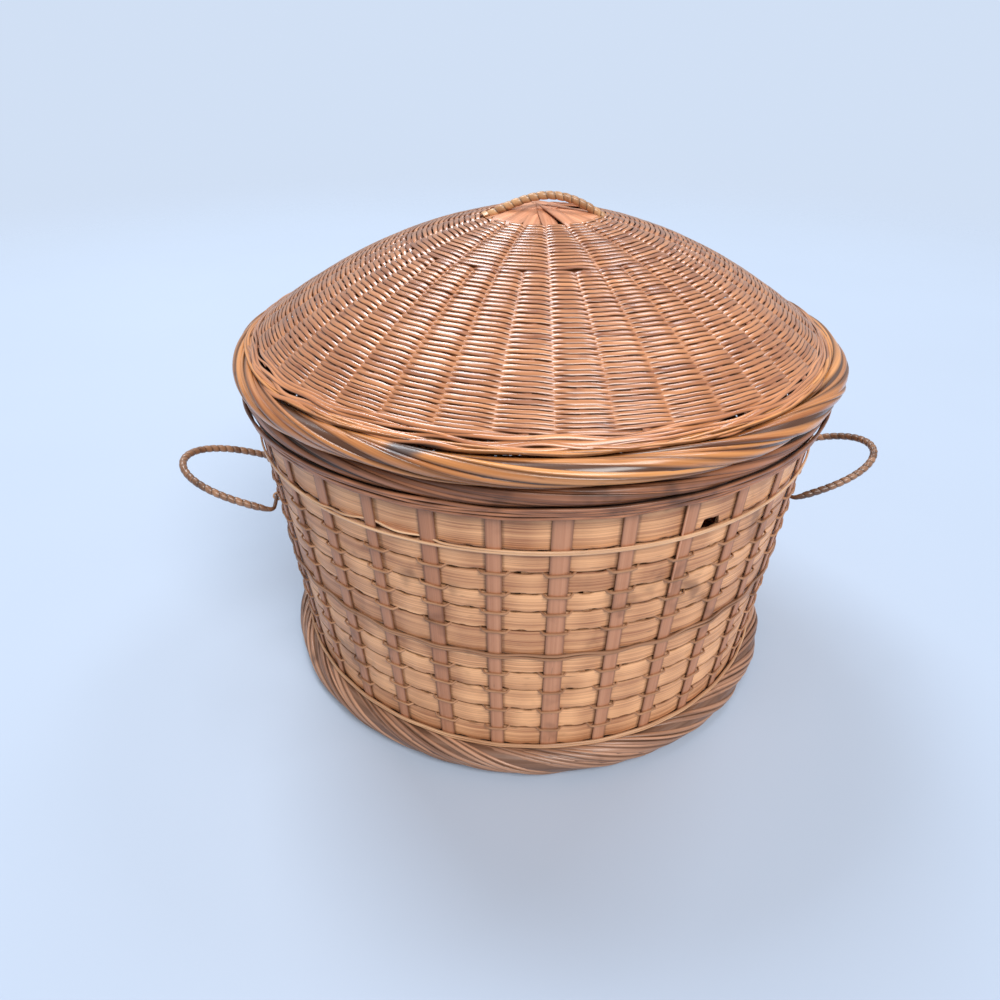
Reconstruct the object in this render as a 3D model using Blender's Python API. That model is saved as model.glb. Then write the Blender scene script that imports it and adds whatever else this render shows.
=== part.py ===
"""A round wicker picnic basket with a domed lid, hinged at the back, and two cane side handles.

Metres, +Z up. The origin is the centre of the foot on the table, the front is towards -Y, and
an azimuth turns about +Z from the front towards +X.
"""
import math

import bmesh
import bpy
from mathutils import Matrix, Vector

# Clearance between pieces that touch, and the distance at which doubled points merge
CLEARANCE = 0.0003
WELD = 0.00001
RING_STEPS = 48
SHARP_EDGE = math.radians(40)

# Wall: stakes outside, flat bands inside, rows of fine cane in the gaps between the bands
STAKE_COUNT = 34
STAKE_TURN = math.radians(2.4)
STAKE_WIDTH = 0.0078
WIDE_STAKE_WIDTH = 0.0112
STAKE_VARIATION_SHARE = 0.1
STAKE_THICKNESS = 0.0016
STAKE_CROWN = 0.0005
WALL_FOOT_RADIUS = 0.1757
WALL_RIM_RADIUS = 0.1890
WALL_HEIGHT = 0.1835
BAND_THICKNESS = 0.0012
BAND_GAP = 0.0020
BAND_SEAM_SHARES = (0.0, 0.096, 0.192, 0.29, 0.373, 0.457, 0.564, 0.644, 0.717, 0.798, 0.881, 1.0)
HANDLE_SEAM = 6
HOOP_SEAM = 10

# Foot border, floor and the two pale hoops
FOOT_HEIGHT = 0.0200
FOOT_WIDTH = 0.0185
FOOT_OVERHANG = 0.0113
FOOT_POINTS = 12
FOOT_FLAT = 0.0010
FLOOR_THICKNESS = 0.0030
HOOP_WIDTH = 0.0026
HOOP_HEIGHT = 0.0032
HOOP_POINTS = 6

# Rim border of the body and border of the lid
RIM_OVERHANG = 0.0055
RIM_WIDTH = 0.0120
RIM_HEIGHT = 0.0180
LID_OVERHANG = 0.0055
LID_BORDER_WIDTH = 0.0170
LID_BORDER_HEIGHT = 0.0158
BORDER_POINTS = 10

# Domed lid: a woven shell over flat ribs that cross in the cap at the crown
CROWN_RISE = 0.0730
CROWN_INSET = 0.0140
CROWN_CONE_SHARE = 0.22
CROWN_POWER_SHARE = 2.1
CROWN_LEAN = 0.0035
WEAVE_THICKNESS = 0.0030
WEAVE_MARGIN = 0.0035
WEAVE_STEP_SHARES = (0.0, 0.16, 0.34, 0.54, 0.74, 0.9, 1.0)
WEAVE_RIDGES = 18
WEAVE_GROOVE = 0.0010
RIB_COUNT = 38
RIB_TURN = math.radians(-3.9)
RIB_WIDTH = 0.0050
RIB_THICKNESS = 0.0012
RIB_INSET = 0.0050
CAP_RADIUS = 0.0335
CAP_STEP_SHARES = (0.5, 1.0)

# Hinge: two cane rings round the meeting strands of the two borders
HINGE_SETBACK = 0.0050
HINGE_OFFSET = 0.0380
HINGE_RING_RADIUS = 0.0090
HINGE_CANE = 0.0024
HINGE_STEPS = 20
HINGE_SIDES = 8

# Handles: a cane core wrapped with a flat strip
CORE_RADIUS = 0.0013
WRAP_RADIUS = 0.0025
WRAP_RIDGE = 0.0006
WRAP_TAPER = 0.0140
RINGS_PER_TURN = 3
HANDLE_SIDES = 8
HANDLE_TURNS = 24
HANDLE_STAKES = {"left_handle": -8, "right_handle": 8}
HANDLE_HALF_WIDTH = 0.0360
HANDLE_REACH = 0.0670
HANDLE_CORNER = 0.0050
HANDLE_FULLNESS_SHARE = 0.8
HANDLE_RISE = math.radians(22)
HANDLE_CORNER_POINTS = 4
HANDLE_LOOP_POINTS = 60
TWINE_CANE = 0.0015
LID_HANDLE_TURNS = 16
LID_HANDLE_OVERRUN = 0.0037
LID_HANDLE_LIFT = 0.0045
LID_HANDLE_FORWARD = 0.0090
LID_HANDLE_POINTS = 40

# Binding of each side handle: one cane through the seam, round the bar and back, twice
BINDING_CANE = 0.0014
BINDING_SPREAD = 0.0026
BINDING_TAIL = 0.0040
BINDING_TURN = math.radians(260)
BINDING_TURN_STEPS = 8
BINDING_EASE_STEPS = 2
BINDING_SIDES_RESOLUTION = 1

FOOT_CENTRE_RADIUS = WALL_FOOT_RADIUS + FOOT_OVERHANG - FOOT_WIDTH / 2
RIM_RADIUS = WALL_RIM_RADIUS + RIM_OVERHANG
LID_RADIUS = RIM_RADIUS + LID_OVERHANG
CROWN_EDGE_RADIUS = LID_RADIUS - CROWN_INSET
RIB_REACH = CROWN_EDGE_RADIUS - RIB_INSET
WEAVE_HOLE_RADIUS = CAP_RADIUS + WEAVE_MARGIN
LID_HANDLE_HALF_SPAN = CAP_RADIUS + LID_HANDLE_OVERRUN
RIM_BOTTOM = FOOT_HEIGHT + WALL_HEIGHT + 2 * CLEARANCE
RIM_TOP = RIM_BOTTOM + RIM_HEIGHT
LID_BOTTOM = RIM_TOP + CLEARANCE
STAKE_PITCH = math.tau / STAKE_COUNT
RING_TURN = -math.pi / RING_STEPS
HINGE_AXIS = Vector((0, LID_RADIUS - HINGE_SETBACK, RIM_TOP + CLEARANCE / 2))


def polar(radius, azimuth, height):
    """The point at this distance from the middle line, azimuth and height."""
    return Vector((radius * math.sin(azimuth), -radius * math.cos(azimuth), height))


def along(azimuth):
    """The level direction in which the azimuth grows."""
    return Vector((math.cos(azimuth), math.sin(azimuth), 0))


def wall_radius(height):
    """Radius of the stakes' outer faces at a height: the wall widens evenly from foot to rim."""
    share = (height - FOOT_HEIGHT) / WALL_HEIGHT
    return WALL_FOOT_RADIUS + (WALL_RIM_RADIUS - WALL_FOOT_RADIUS) * share


def seam_height(seam):
    """Height of the middle of the gap under band number seam."""
    return FOOT_HEIGHT + WALL_HEIGHT * BAND_SEAM_SHARES[seam]


def band_face(height):
    """Distance from the middle line to the flats of the bands' outer faces."""
    return wall_radius(height) - STAKE_THICKNESS - CLEARANCE


def oval_top(radius, centre, width, bottom, height):
    """Height of the upper side of an oval section at a radius."""
    share = (radius - centre) / (width / 2)
    return bottom + height / 2 * (1 + math.sqrt(1 - share * share))


def crown_height(radius):
    """Height of the dome's outer surface: a cone that rounds over towards its edge."""
    share = radius / CROWN_EDGE_RADIUS
    cone = CROWN_CONE_SHARE * share
    curve = (1 - CROWN_CONE_SHARE) * share ** CROWN_POWER_SHARE
    return crown_edge_height() + CROWN_RISE * (1 - cone - curve)


def crown_edge_height():
    """The dome's edge lies on the inner shoulder of the lid border."""
    centre = LID_RADIUS - LID_BORDER_WIDTH / 2
    seat = oval_top(CROWN_EDGE_RADIUS, centre, LID_BORDER_WIDTH, LID_BOTTOM, LID_BORDER_HEIGHT)
    return seat + CLEARANCE + WEAVE_THICKNESS


def lean(mesh):
    """Carries the crown sideways in proportion to its height, as hand weaving left it."""
    edge = crown_edge_height()
    for vertex in mesh.vertices:
        share = max(0.0, (vertex.co.z - edge) / CROWN_RISE)
        vertex.co.x += CROWN_LEAN * share


def make_finish(name, colour, roughness):
    """A plain cane or bamboo material."""
    material = bpy.data.materials.new(name)
    material.use_nodes = True
    shader = material.node_tree.nodes["Principled BSDF"]
    shader.inputs["Base Color"].default_value = (*colour, 1)
    shader.inputs["Roughness"].default_value = roughness
    shader.inputs["Metallic"].default_value = 0
    material.diffuse_color = (*colour, 1)
    return material


def add_object(name, data, material, pivot=None):
    """Links an object; a moving piece has its origin at its pivot, with its place unchanged."""
    item = bpy.data.objects.new(name, data)
    if pivot is not None:
        data.transform(Matrix.Translation(-pivot))
        item.location = pivot
    data.materials.append(material)
    bpy.context.scene.collection.objects.link(item)
    return item


def add_mesh(name, shape, material, pivot=None, leaning=False):
    """Closes a bmesh into a smooth-shaded object with its faces outward."""
    bmesh.ops.remove_doubles(shape, verts=shape.verts, dist=WELD)
    bmesh.ops.recalc_face_normals(shape, faces=shape.faces)
    mesh = bpy.data.meshes.new(name)
    shape.to_mesh(mesh)
    shape.free()
    if leaning:
        lean(mesh)
    mesh.shade_smooth()
    mesh.set_sharp_from_angle(angle=SHARP_EDGE)
    return add_object(name, mesh, material, pivot)


def turn_profile(profile, steps, turn, closed=True):
    """Spins a profile of (radius, height) points once about the middle line."""
    shape = bmesh.new()
    points = [shape.verts.new(polar(radius, turn, height)) for radius, height in profile]
    pairs = list(zip(points, points[1:]))
    if closed:
        pairs.append((points[-1], points[0]))
    edges = [shape.edges.new(pair) for pair in pairs]
    bmesh.ops.spin(
        shape,
        geom=points + edges,
        cent=(0, 0, 0),
        axis=(0, 0, 1),
        angle=math.tau,
        steps=steps,
        use_merge=True,
    )
    return shape


def oval(centre, width, bottom, height, count, floor=None):
    """Points of an oval section; none lies under the floor, which cuts it flat."""
    points = []
    for index in range(count):
        angle = math.tau * (index + 0.5) / count
        z = bottom + height / 2 * (1 + math.sin(angle))
        if floor is not None:
            z = max(z, floor)
        points.append((centre + width / 2 * math.cos(angle), z))
    return points


def add_hoop(name, height, material):
    """A pair of fine canes, as one flat hoop, laid round the outside of the stakes."""
    inner = wall_radius(height) + CLEARANCE
    outward = 1 / math.cos(math.pi / RING_STEPS)
    centre = inner + HOOP_WIDTH / 2
    section = oval(centre, HOOP_WIDTH, height - HOOP_HEIGHT / 2, HOOP_HEIGHT, HOOP_POINTS)
    profile = [(radius * outward, z) for radius, z in section]
    return add_mesh(name, turn_profile(profile, RING_STEPS, RING_TURN), material)


def add_band(index, material):
    """One flat ring of bamboo with a flat behind each stake."""
    low = seam_height(index) + BAND_GAP / 2
    high = seam_height(index + 1) - BAND_GAP / 2
    corner = 1 / math.cos(STAKE_PITCH / 2)
    profile = [
        (band_face(low) * corner, low),
        (band_face(high) * corner, high),
        ((band_face(high) - BAND_THICKNESS) * corner, high),
        ((band_face(low) - BAND_THICKNESS) * corner, low),
    ]
    shape = turn_profile(profile, STAKE_COUNT, STAKE_TURN + STAKE_PITCH / 2)
    return add_mesh(f"wall_band_{index + 1:02d}", shape, material)


def add_stake(index, material):
    """One upright strip with a crowned face, leaning outward with the wall."""
    azimuth = STAKE_TURN + index * STAKE_PITCH
    if index == 0:
        width = WIDE_STAKE_WIDTH
    else:
        width = STAKE_WIDTH * (1 + STAKE_VARIATION_SHARE * math.sin(index * index))
    low = FOOT_HEIGHT + CLEARANCE
    high = RIM_BOTTOM - CLEARANCE
    radius = wall_radius(low)
    section = [
        (-width / 2, -STAKE_THICKNESS),
        (width / 2, -STAKE_THICKNESS),
        (width / 2, -STAKE_CROWN),
        (0, 0),
        (-width / 2, -STAKE_CROWN),
    ]
    shape = bmesh.new()
    points = [
        shape.verts.new(polar(radius + depth, azimuth, low) + side * along(azimuth))
        for side, depth in section
    ]
    face = shape.faces.new(points)
    raised = bmesh.ops.extrude_face_region(shape, geom=[face])["geom"]
    upper = [item for item in raised if isinstance(item, bmesh.types.BMVert)]
    shift = polar(wall_radius(high), azimuth, high) - polar(radius, azimuth, low)
    bmesh.ops.translate(shape, verts=upper, vec=shift)
    return add_mesh(f"wall_stake_{index + 1:02d}", shape, material)


def add_floor(material):
    """The woven floor, a disc that lies on the inner shoulder of the foot border."""
    radius = band_face(seam_height(0)) - BAND_THICKNESS - CLEARANCE
    low = oval_top(radius, FOOT_CENTRE_RADIUS, FOOT_WIDTH, 0, FOOT_HEIGHT) + CLEARANCE
    profile = [(0, low), (radius, low), (radius, low + FLOOR_THICKNESS), (0, low + FLOOR_THICKNESS)]
    shape = turn_profile(profile, RING_STEPS, RING_TURN, closed=False)
    return add_mesh("base_floor", shape, material)


def torus(centre, ring_radius, tube_radius):
    """A torus whose own axis is parallel to X, turned from a circle."""
    shape = bmesh.new()
    points = []
    for side in range(HINGE_SIDES):
        angle = math.tau * side / HINGE_SIDES
        offset = Vector((tube_radius * math.sin(angle), 0, ring_radius + tube_radius * math.cos(angle)))
        points.append(shape.verts.new(centre + offset))
    edges = [shape.edges.new(pair) for pair in zip(points, points[1:] + points[:1])]
    bmesh.ops.spin(
        shape,
        geom=points + edges,
        cent=centre,
        axis=(1, 0, 0),
        angle=math.tau,
        steps=HINGE_STEPS,
        use_merge=True,
    )
    return shape


def hinge_centre(side):
    """Centre of a hinge ring, on the hinge's axis."""
    return HINGE_AXIS + Vector((side * HINGE_OFFSET, 0, 0))


def cut_hinge_way(item, side):
    """Leaves a round way through a border, in which a hinge ring lies and turns."""
    shape = torus(hinge_centre(side), HINGE_RING_RADIUS, HINGE_CANE / 2 + CLEARANCE)
    cutter = add_mesh(f"{item.name}_way_{side}", shape, item.data.materials[0], HINGE_AXIS)
    cutter.hide_render = True
    cutter.display_type = "WIRE"
    cut = item.modifiers.new(cutter.name, "BOOLEAN")
    cut.operation = "DIFFERENCE"
    cut.solver = "EXACT"
    cut.object = cutter


def weave_radii():
    """Radii of the dome's profile points, from the hole for the cap to the edge."""
    reach = CROWN_EDGE_RADIUS - WEAVE_HOLE_RADIUS
    return [WEAVE_HOLE_RADIUS + reach * share for share in WEAVE_STEP_SHARES]


def weave_ridges():
    """The dome's outer profile: one ridge for each few rows of weave, a groove between two."""
    reach = CROWN_EDGE_RADIUS - WEAVE_HOLE_RADIUS
    points = []
    for step in range(2 * WEAVE_RIDGES + 1):
        radius = WEAVE_HOLE_RADIUS + reach * step / (2 * WEAVE_RIDGES)
        depth = WEAVE_GROOVE if step % 2 else 0
        points.append((radius, crown_height(radius) - depth))
    return points


def add_lid_weave(material, pivot):
    """The woven shell of the dome, ridged by its rows and open at the crown for the cap."""
    inner = [(radius, crown_height(radius) - WEAVE_THICKNESS) for radius in weave_radii()]
    shape = turn_profile(weave_ridges() + inner[::-1], RING_STEPS, RING_TURN)
    return add_mesh("lid_weave", shape, material, pivot, leaning=True)


def rib_height(radius):
    """Upper side of the ribs: level with the dome in the cap, under the weave beyond it."""
    if radius <= CAP_RADIUS:
        return crown_height(radius)
    facet_radius = radius / math.cos(math.pi / RING_STEPS)
    return crown_height(facet_radius) - WEAVE_THICKNESS - CLEARANCE


def add_lid_ribs(material, pivot):
    """Flat ribs that radiate from the cap, where they cross, and carry the weave."""
    shape = bmesh.new()
    radii = [WEAVE_HOLE_RADIUS - 2 * RIB_THICKNESS] + weave_radii()[1:-1] + [RIB_REACH]
    half_step = math.pi / (2 * RIB_COUNT)
    centre = shape.verts.new((0, 0, rib_height(0)))
    inner = None
    for share in CAP_STEP_SHARES:
        radius = CAP_RADIUS * share
        ring = [
            shape.verts.new(polar(radius, RIB_TURN + (2 * index - 1) * half_step, rib_height(radius)))
            for index in range(2 * RIB_COUNT)
        ]
        for index, point in enumerate(ring):
            after = (index + 1) % len(ring)
            if inner is None:
                shape.faces.new((centre, point, ring[after]))
            else:
                shape.faces.new((inner[index], point, ring[after], inner[after]))
        inner = ring
    for rib in range(RIB_COUNT):
        azimuth = RIB_TURN + 2 * rib * math.pi / RIB_COUNT
        before = (inner[2 * rib], inner[(2 * rib + 1) % len(inner)])
        for radius in radii:
            half = min(RIB_WIDTH / 2, radius * half_step)
            pair = [
                shape.verts.new(polar(radius, azimuth, rib_height(radius)) + side * along(azimuth))
                for side in (-half, half)
            ]
            shape.faces.new((before[0], pair[0], pair[1], before[1]))
            before = pair
    ribs = add_mesh("lid_ribs", shape, material, pivot, leaning=True)
    depth = ribs.modifiers.new("thickness", "SOLIDIFY")
    depth.thickness = RIB_THICKNESS
    depth.offset = -1
    return ribs


def even_points(points, count, closed):
    """Points spread evenly by distance along a polyline."""
    if closed:
        points = points + points[:1]
    lengths = [0.0]
    for before, after in zip(points, points[1:]):
        lengths.append(lengths[-1] + (after - before).length)
    spans = count if closed else count - 1
    spread = []
    index = 0
    for step in range(count):
        target = lengths[-1] * step / spans
        while index < len(points) - 2 and lengths[index + 1] < target:
            index += 1
        span = lengths[index + 1] - lengths[index]
        spread.append(points[index].lerp(points[index + 1], (target - lengths[index]) / span))
    return spread, lengths[-1]


def wound_tube(points, normal, wraps, radius_at, closed):
    """A tube along a flat path whose surface rises and falls in one helical winding.

    The radius at a station and an angle round it is radius_at(station, phase), where the phase
    of the winding grows along the path and falls once round it.
    """
    shape = bmesh.new()
    count = len(points)
    rings = []
    for station, point in enumerate(points):
        after = points[(station + 1) % count] if closed or station < count - 1 else point
        before = points[station - 1] if closed or station > 0 else point
        forward = (after - before).normalized()
        across = forward.cross(normal)
        ring = []
        for side in range(HANDLE_SIDES):
            turn_share = side / HANDLE_SIDES
            angle = math.tau * turn_share
            phase = (wraps * station / count - turn_share) % 1
            direction = math.cos(angle) * normal + math.sin(angle) * across
            ring.append(shape.verts.new(point + radius_at(station / count, phase) * direction))
        rings.append(ring)
    for station in range(count if closed else count - 1):
        ring = rings[station]
        after = rings[(station + 1) % count]
        for side in range(HANDLE_SIDES):
            beside = (side + 1) % HANDLE_SIDES
            shape.faces.new((ring[side], ring[beside], after[beside], after[side]))
    if not closed:
        shape.faces.new(rings[0])
        shape.faces.new(rings[-1])
    return shape


def ridge(phase):
    """Height of the winding's crown at a phase, from 0 in the groove to 1."""
    return 1 - abs(2 * phase - 1) ** 2


def handle_centre(stake):
    """Middle of the handle's bar, just clear of the cane that crosses its stake."""
    height = seam_height(HANDLE_SEAM)
    radius = wall_radius(height) + TWINE_CANE + CLEARANCE + CORE_RADIUS
    return polar(radius, STAKE_TURN + stake * STAKE_PITCH, height)


def add_side_handle(name, stake, material):
    """A D of cane: a bare bar along the wall and a wrapped loop that stands out from it."""
    azimuth = STAKE_TURN + stake * STAKE_PITCH
    side = along(azimuth)
    outward = math.cos(HANDLE_RISE) * polar(1, azimuth, 0) + math.sin(HANDLE_RISE) * Vector((0, 0, 1))
    centre = handle_centre(stake)
    inset = HANDLE_HALF_WIDTH - HANDLE_CORNER
    outline = []
    for index in range(HANDLE_CORNER_POINTS + 1):
        angle = math.pi / 2 * (index / HANDLE_CORNER_POINTS - 1)
        outline.append((inset + HANDLE_CORNER * math.cos(angle), HANDLE_CORNER * (1 + math.sin(angle))))
    for index in range(1, HANDLE_LOOP_POINTS):
        angle = math.pi * index / HANDLE_LOOP_POINTS
        rise = (HANDLE_REACH - HANDLE_CORNER) * math.sin(angle) ** HANDLE_FULLNESS_SHARE
        outline.append((HANDLE_HALF_WIDTH * math.cos(angle), HANDLE_CORNER + rise))
    for index in range(HANDLE_CORNER_POINTS + 1):
        angle = math.pi / 2 * (index / HANDLE_CORNER_POINTS)
        x = -inset - HANDLE_CORNER * math.cos(angle)
        outline.append((x, HANDLE_CORNER * (1 - math.sin(angle))))
    path = [centre + x * side + y * outward for x, y in outline]
    bar = 2 * inset
    count = HANDLE_TURNS * RINGS_PER_TURN
    points, length = even_points(path, count, closed=True)
    wrapped_end = 1 - bar / length

    def radius_at(share, phase):
        reach = min(share, wrapped_end - share) * length
        cover = max(0.0, min(1.0, reach / WRAP_TAPER))
        return CORE_RADIUS + cover * (WRAP_RADIUS - CORE_RADIUS - WRAP_RIDGE * (1 - ridge(phase)))

    shape = wound_tube(points, side.cross(outward), HANDLE_TURNS, radius_at, closed=True)
    return add_mesh(name, shape, material, centre)


def add_lid_handle(material, pivot):
    """A low wrapped arch just before the apex, its ends seated on the weave beside the cap."""
    path = []
    for index in range(LID_HANDLE_POINTS + 1):
        share = 2 * index / LID_HANDLE_POINTS - 1
        x = LID_HANDLE_HALF_SPAN * share
        lift = LID_HANDLE_LIFT * math.cos(math.pi / 2 * share) + WRAP_RADIUS + 2 * CLEARANCE
        radius = math.hypot(x, LID_HANDLE_FORWARD)
        path.append(Vector((x, -LID_HANDLE_FORWARD, crown_height(radius) + lift)))
    count = LID_HANDLE_TURNS * RINGS_PER_TURN
    points = even_points(path, count, closed=False)[0]

    def radius_at(share, phase):
        return WRAP_RADIUS - WRAP_RIDGE * (1 - ridge(phase))

    shape = wound_tube(points, Vector((0, 1, 0)), LID_HANDLE_TURNS, radius_at, closed=False)
    return add_mesh("lid_handle", shape, material, pivot, leaning=True)


def smooth_path(corners, steps):
    """A soft curve through all corners, by the cubic that keeps its slope at each of them."""
    points = []
    last = len(corners) - 1
    for index in range(last):
        before = corners[max(index - 1, 0)]
        start = corners[index]
        end = corners[index + 1]
        after = corners[min(index + 2, last)]
        for step in range(steps):
            t = step / steps
            bend = (2 * before - 5 * start + 4 * end - after) * t * t
            twist = (3 * start - before - 3 * end + after) * t * t * t
            points.append(start + ((end - before) * t + bend + twist) / 2)
    points.append(corners[last])
    return points


def add_binding(name, stake, material):
    """One cane that holds the bar: out through the seam, round the bar and back, on each side.

    The turns lie half a pitch from the handle's stake, between it and its neighbours.
    """
    azimuth = STAKE_TURN + stake * STAKE_PITCH
    side = along(azimuth)
    outward = polar(1, azimuth, 0)
    centre = handle_centre(stake)
    seam = seam_height(HANDLE_SEAM)
    turn_radius = CORE_RADIUS + CLEARANCE + BINDING_CANE / 2
    ear = math.sin(STAKE_PITCH / 2) * wall_radius(seam)
    bar_radius = centre.xy.length
    inner_face = band_face(seam) - BAND_THICKNESS - 2 * CLEARANCE - BINDING_CANE / 2
    inside = math.sqrt(inner_face ** 2 - ear ** 2) - bar_radius
    outside = band_face(seam) + BINDING_CANE - bar_radius
    half = BINDING_SPREAD / 2
    corners = [(-ear - half - BINDING_TAIL, inside - CLEARANCE, 0), (-ear - half - BINDING_CANE, inside, 0)]
    for sign in (-1, 1):
        middle = sign * ear
        corners.append((middle - half, (inside + outside) / 2, 0))
        for step in range(BINDING_TURN_STEPS + 1):
            share = step / BINDING_TURN_STEPS
            angle = BINDING_TURN * (1 / 2 - share)
            u = middle - half + BINDING_SPREAD * share
            corners.append((u, turn_radius * math.cos(angle), turn_radius * math.sin(angle)))
        corners.append((middle + half, (inside + outside) / 2, 0))
        if sign < 0:
            corners.append((middle + half + BINDING_TAIL, inside, 0))
            corners.append((-middle - half - BINDING_TAIL, inside, 0))
            corners.append((-middle - half, inside, 0))
    corners.append((ear + half + BINDING_TAIL, inside - CLEARANCE, 0))
    path = [centre + u * side + v * outward + w * Vector((0, 0, 1)) for u, v, w in corners]
    points = smooth_path(path, BINDING_EASE_STEPS)
    curve = bpy.data.curves.new(name, "CURVE")
    curve.dimensions = "3D"
    curve.bevel_depth = BINDING_CANE / 2
    curve.bevel_resolution = BINDING_SIDES_RESOLUTION
    curve.use_fill_caps = True
    spline = curve.splines.new("POLY")
    spline.points.add(len(points) - 1)
    for target, point in zip(spline.points, points):
        target.co = (*point, 1)
    return add_object(name, curve, material)


def clear_scene():
    """Removes every object of the open file."""
    for item in list(bpy.data.objects):
        bpy.data.objects.remove(item)


def build():
    """Makes every piece of the basket."""
    clear_scene()
    band_finish = make_finish("bamboo band", (0.56, 0.33, 0.15), 0.5)
    stake_finish = make_finish("bamboo stake", (0.50, 0.28, 0.15), 0.5)
    foot_finish = make_finish("foot border cane", (0.33, 0.18, 0.09), 0.5)
    border_finish = make_finish("border cane", (0.47, 0.22, 0.07), 0.35)
    weave_finish = make_finish("lid cane", (0.52, 0.27, 0.11), 0.4)
    pale_finish = make_finish("pale cane", (0.66, 0.45, 0.24), 0.5)
    wrap_finish = make_finish("handle wrap", (0.58, 0.40, 0.22), 0.5)

    height = FOOT_HEIGHT + FOOT_FLAT
    foot = oval(FOOT_CENTRE_RADIUS, FOOT_WIDTH, -FOOT_FLAT, height, FOOT_POINTS, floor=0)
    add_mesh("foot_border", turn_profile(foot, RING_STEPS, RING_TURN), foot_finish)
    add_floor(band_finish)
    add_hoop("foot_hoop", FOOT_HEIGHT + CLEARANCE + HOOP_HEIGHT / 2, pale_finish)
    add_hoop("upper_hoop", seam_height(HOOP_SEAM), pale_finish)
    for index in range(len(BAND_SEAM_SHARES) - 1):
        add_band(index, band_finish)
    for index in range(STAKE_COUNT):
        add_stake(index, stake_finish)
    rim = oval(RIM_RADIUS - RIM_WIDTH / 2, RIM_WIDTH, RIM_BOTTOM, RIM_HEIGHT, BORDER_POINTS)
    rim_border = add_mesh("rim_border", turn_profile(rim, RING_STEPS, RING_TURN), foot_finish)
    for name, stake in HANDLE_STAKES.items():
        add_side_handle(name, stake, wrap_finish)
        add_binding(f"{name}_binding", stake, pale_finish)

    lid_pivot = bpy.data.objects.new("lid_pivot", None)
    lid_pivot.location = HINGE_AXIS
    bpy.context.scene.collection.objects.link(lid_pivot)
    centre = LID_RADIUS - LID_BORDER_WIDTH / 2
    lid = turn_profile(
        oval(centre, LID_BORDER_WIDTH, LID_BOTTOM, LID_BORDER_HEIGHT, BORDER_POINTS), RING_STEPS, RING_TURN
    )
    lid_border = add_mesh("lid_border", lid, border_finish, HINGE_AXIS)
    moving = [
        lid_border,
        add_lid_weave(weave_finish, HINGE_AXIS),
        add_lid_ribs(stake_finish, HINGE_AXIS),
        add_lid_handle(wrap_finish, HINGE_AXIS),
    ]
    for item in moving:
        item.parent = lid_pivot
        item.location = (0, 0, 0)
    for side, name in ((-1, "left"), (1, "right")):
        ring = torus(hinge_centre(side), HINGE_RING_RADIUS, HINGE_CANE / 2)
        add_mesh(f"{name}_hinge_ring", ring, pale_finish)
        cut_hinge_way(lid_border, side)
        cut_hinge_way(rim_border, side)


build()
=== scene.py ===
"""The looks of the wicker picnic basket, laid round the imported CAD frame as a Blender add-on."""

import math

import bpy
import numpy as np
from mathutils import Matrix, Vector


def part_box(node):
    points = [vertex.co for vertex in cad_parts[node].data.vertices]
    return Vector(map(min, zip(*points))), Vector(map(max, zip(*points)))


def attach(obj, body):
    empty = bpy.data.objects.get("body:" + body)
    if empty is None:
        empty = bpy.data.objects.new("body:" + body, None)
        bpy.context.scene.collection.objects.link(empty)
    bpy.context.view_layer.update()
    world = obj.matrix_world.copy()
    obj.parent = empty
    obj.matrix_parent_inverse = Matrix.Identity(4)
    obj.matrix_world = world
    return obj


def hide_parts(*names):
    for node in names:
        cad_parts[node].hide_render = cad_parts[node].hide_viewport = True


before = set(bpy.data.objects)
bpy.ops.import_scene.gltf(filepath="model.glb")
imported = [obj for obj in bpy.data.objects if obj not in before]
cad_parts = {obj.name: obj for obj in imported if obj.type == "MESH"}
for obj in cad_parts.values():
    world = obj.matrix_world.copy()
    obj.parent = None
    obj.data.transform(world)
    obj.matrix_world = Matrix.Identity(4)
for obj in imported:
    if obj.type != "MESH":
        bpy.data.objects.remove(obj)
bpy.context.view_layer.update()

bl_info = {
    "name": "Wicker picnic basket",
    "version": (1, 0, 0),
    "blender": (4, 5, 0),
    "location": "View3D > Sidebar > Basket",
    "description": "Weaves a round lidded basket of bamboo and cane round its CAD frame",
    "category": "Add Mesh",
}

TAU = math.tau
UP = np.array((0, 0, 1))
BASKET = "basket"
LID = "lid"

# Places that the CAD frame fixes, in metres and radians
STAKE_COUNT = 34
STAKE_TURN = math.radians(2.4)
STAKE_PITCH = TAU / STAKE_COUNT
FOOT_HEIGHT = 0.0200
WALL_HEIGHT = 0.1835
WALL_FOOT_RADIUS = 0.1757
WALL_RIM_RADIUS = 0.1890
SEAM_SHARES = np.array((0.0, 0.096, 0.192, 0.29, 0.373, 0.457, 0.564, 0.644, 0.717, 0.798, 0.881, 1.0))
SEAM_HEIGHTS = FOOT_HEIGHT + WALL_HEIGHT * SEAM_SHARES
DOUBLED_SEAM = 5
HANDLE_SEAM = 6
HOOP_SEAM = 10
BAND_SETBACK = 0.0019
BAND_THICKNESS = 0.0012
BAND_GAP = 0.0006
HINGE_AXIS = np.array((0.0, 0.1950, 0.22225))
CROWN_EDGE_RADIUS = 0.1860
CROWN_RISE = 0.0730
CROWN_EDGE_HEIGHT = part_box("lid_weave")[0].z + 0.0030
CROWN_LEAN = 0.0035
CROWN_CONE_SHARE = 0.22
CROWN_POWER = 2.1
RIB_COUNT = 38
CROSSING_TURN = math.radians(0.84)
RIB_TURN = CROSSING_TURN - math.pi / RIB_COUNT
LID_HANDLE_FORWARD = 0.0090
WEAVE_START = 0.0350
CLEARANCE = 0.0003
HANDLE_CORE_RADIUS = 0.0013
HANDLE_STANDOFF = 0.0015
WRAP_STATIONS = 14
HANDLE_STAKES = {"left_handle": -8, "right_handle": 8}


# Shapes


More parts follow.
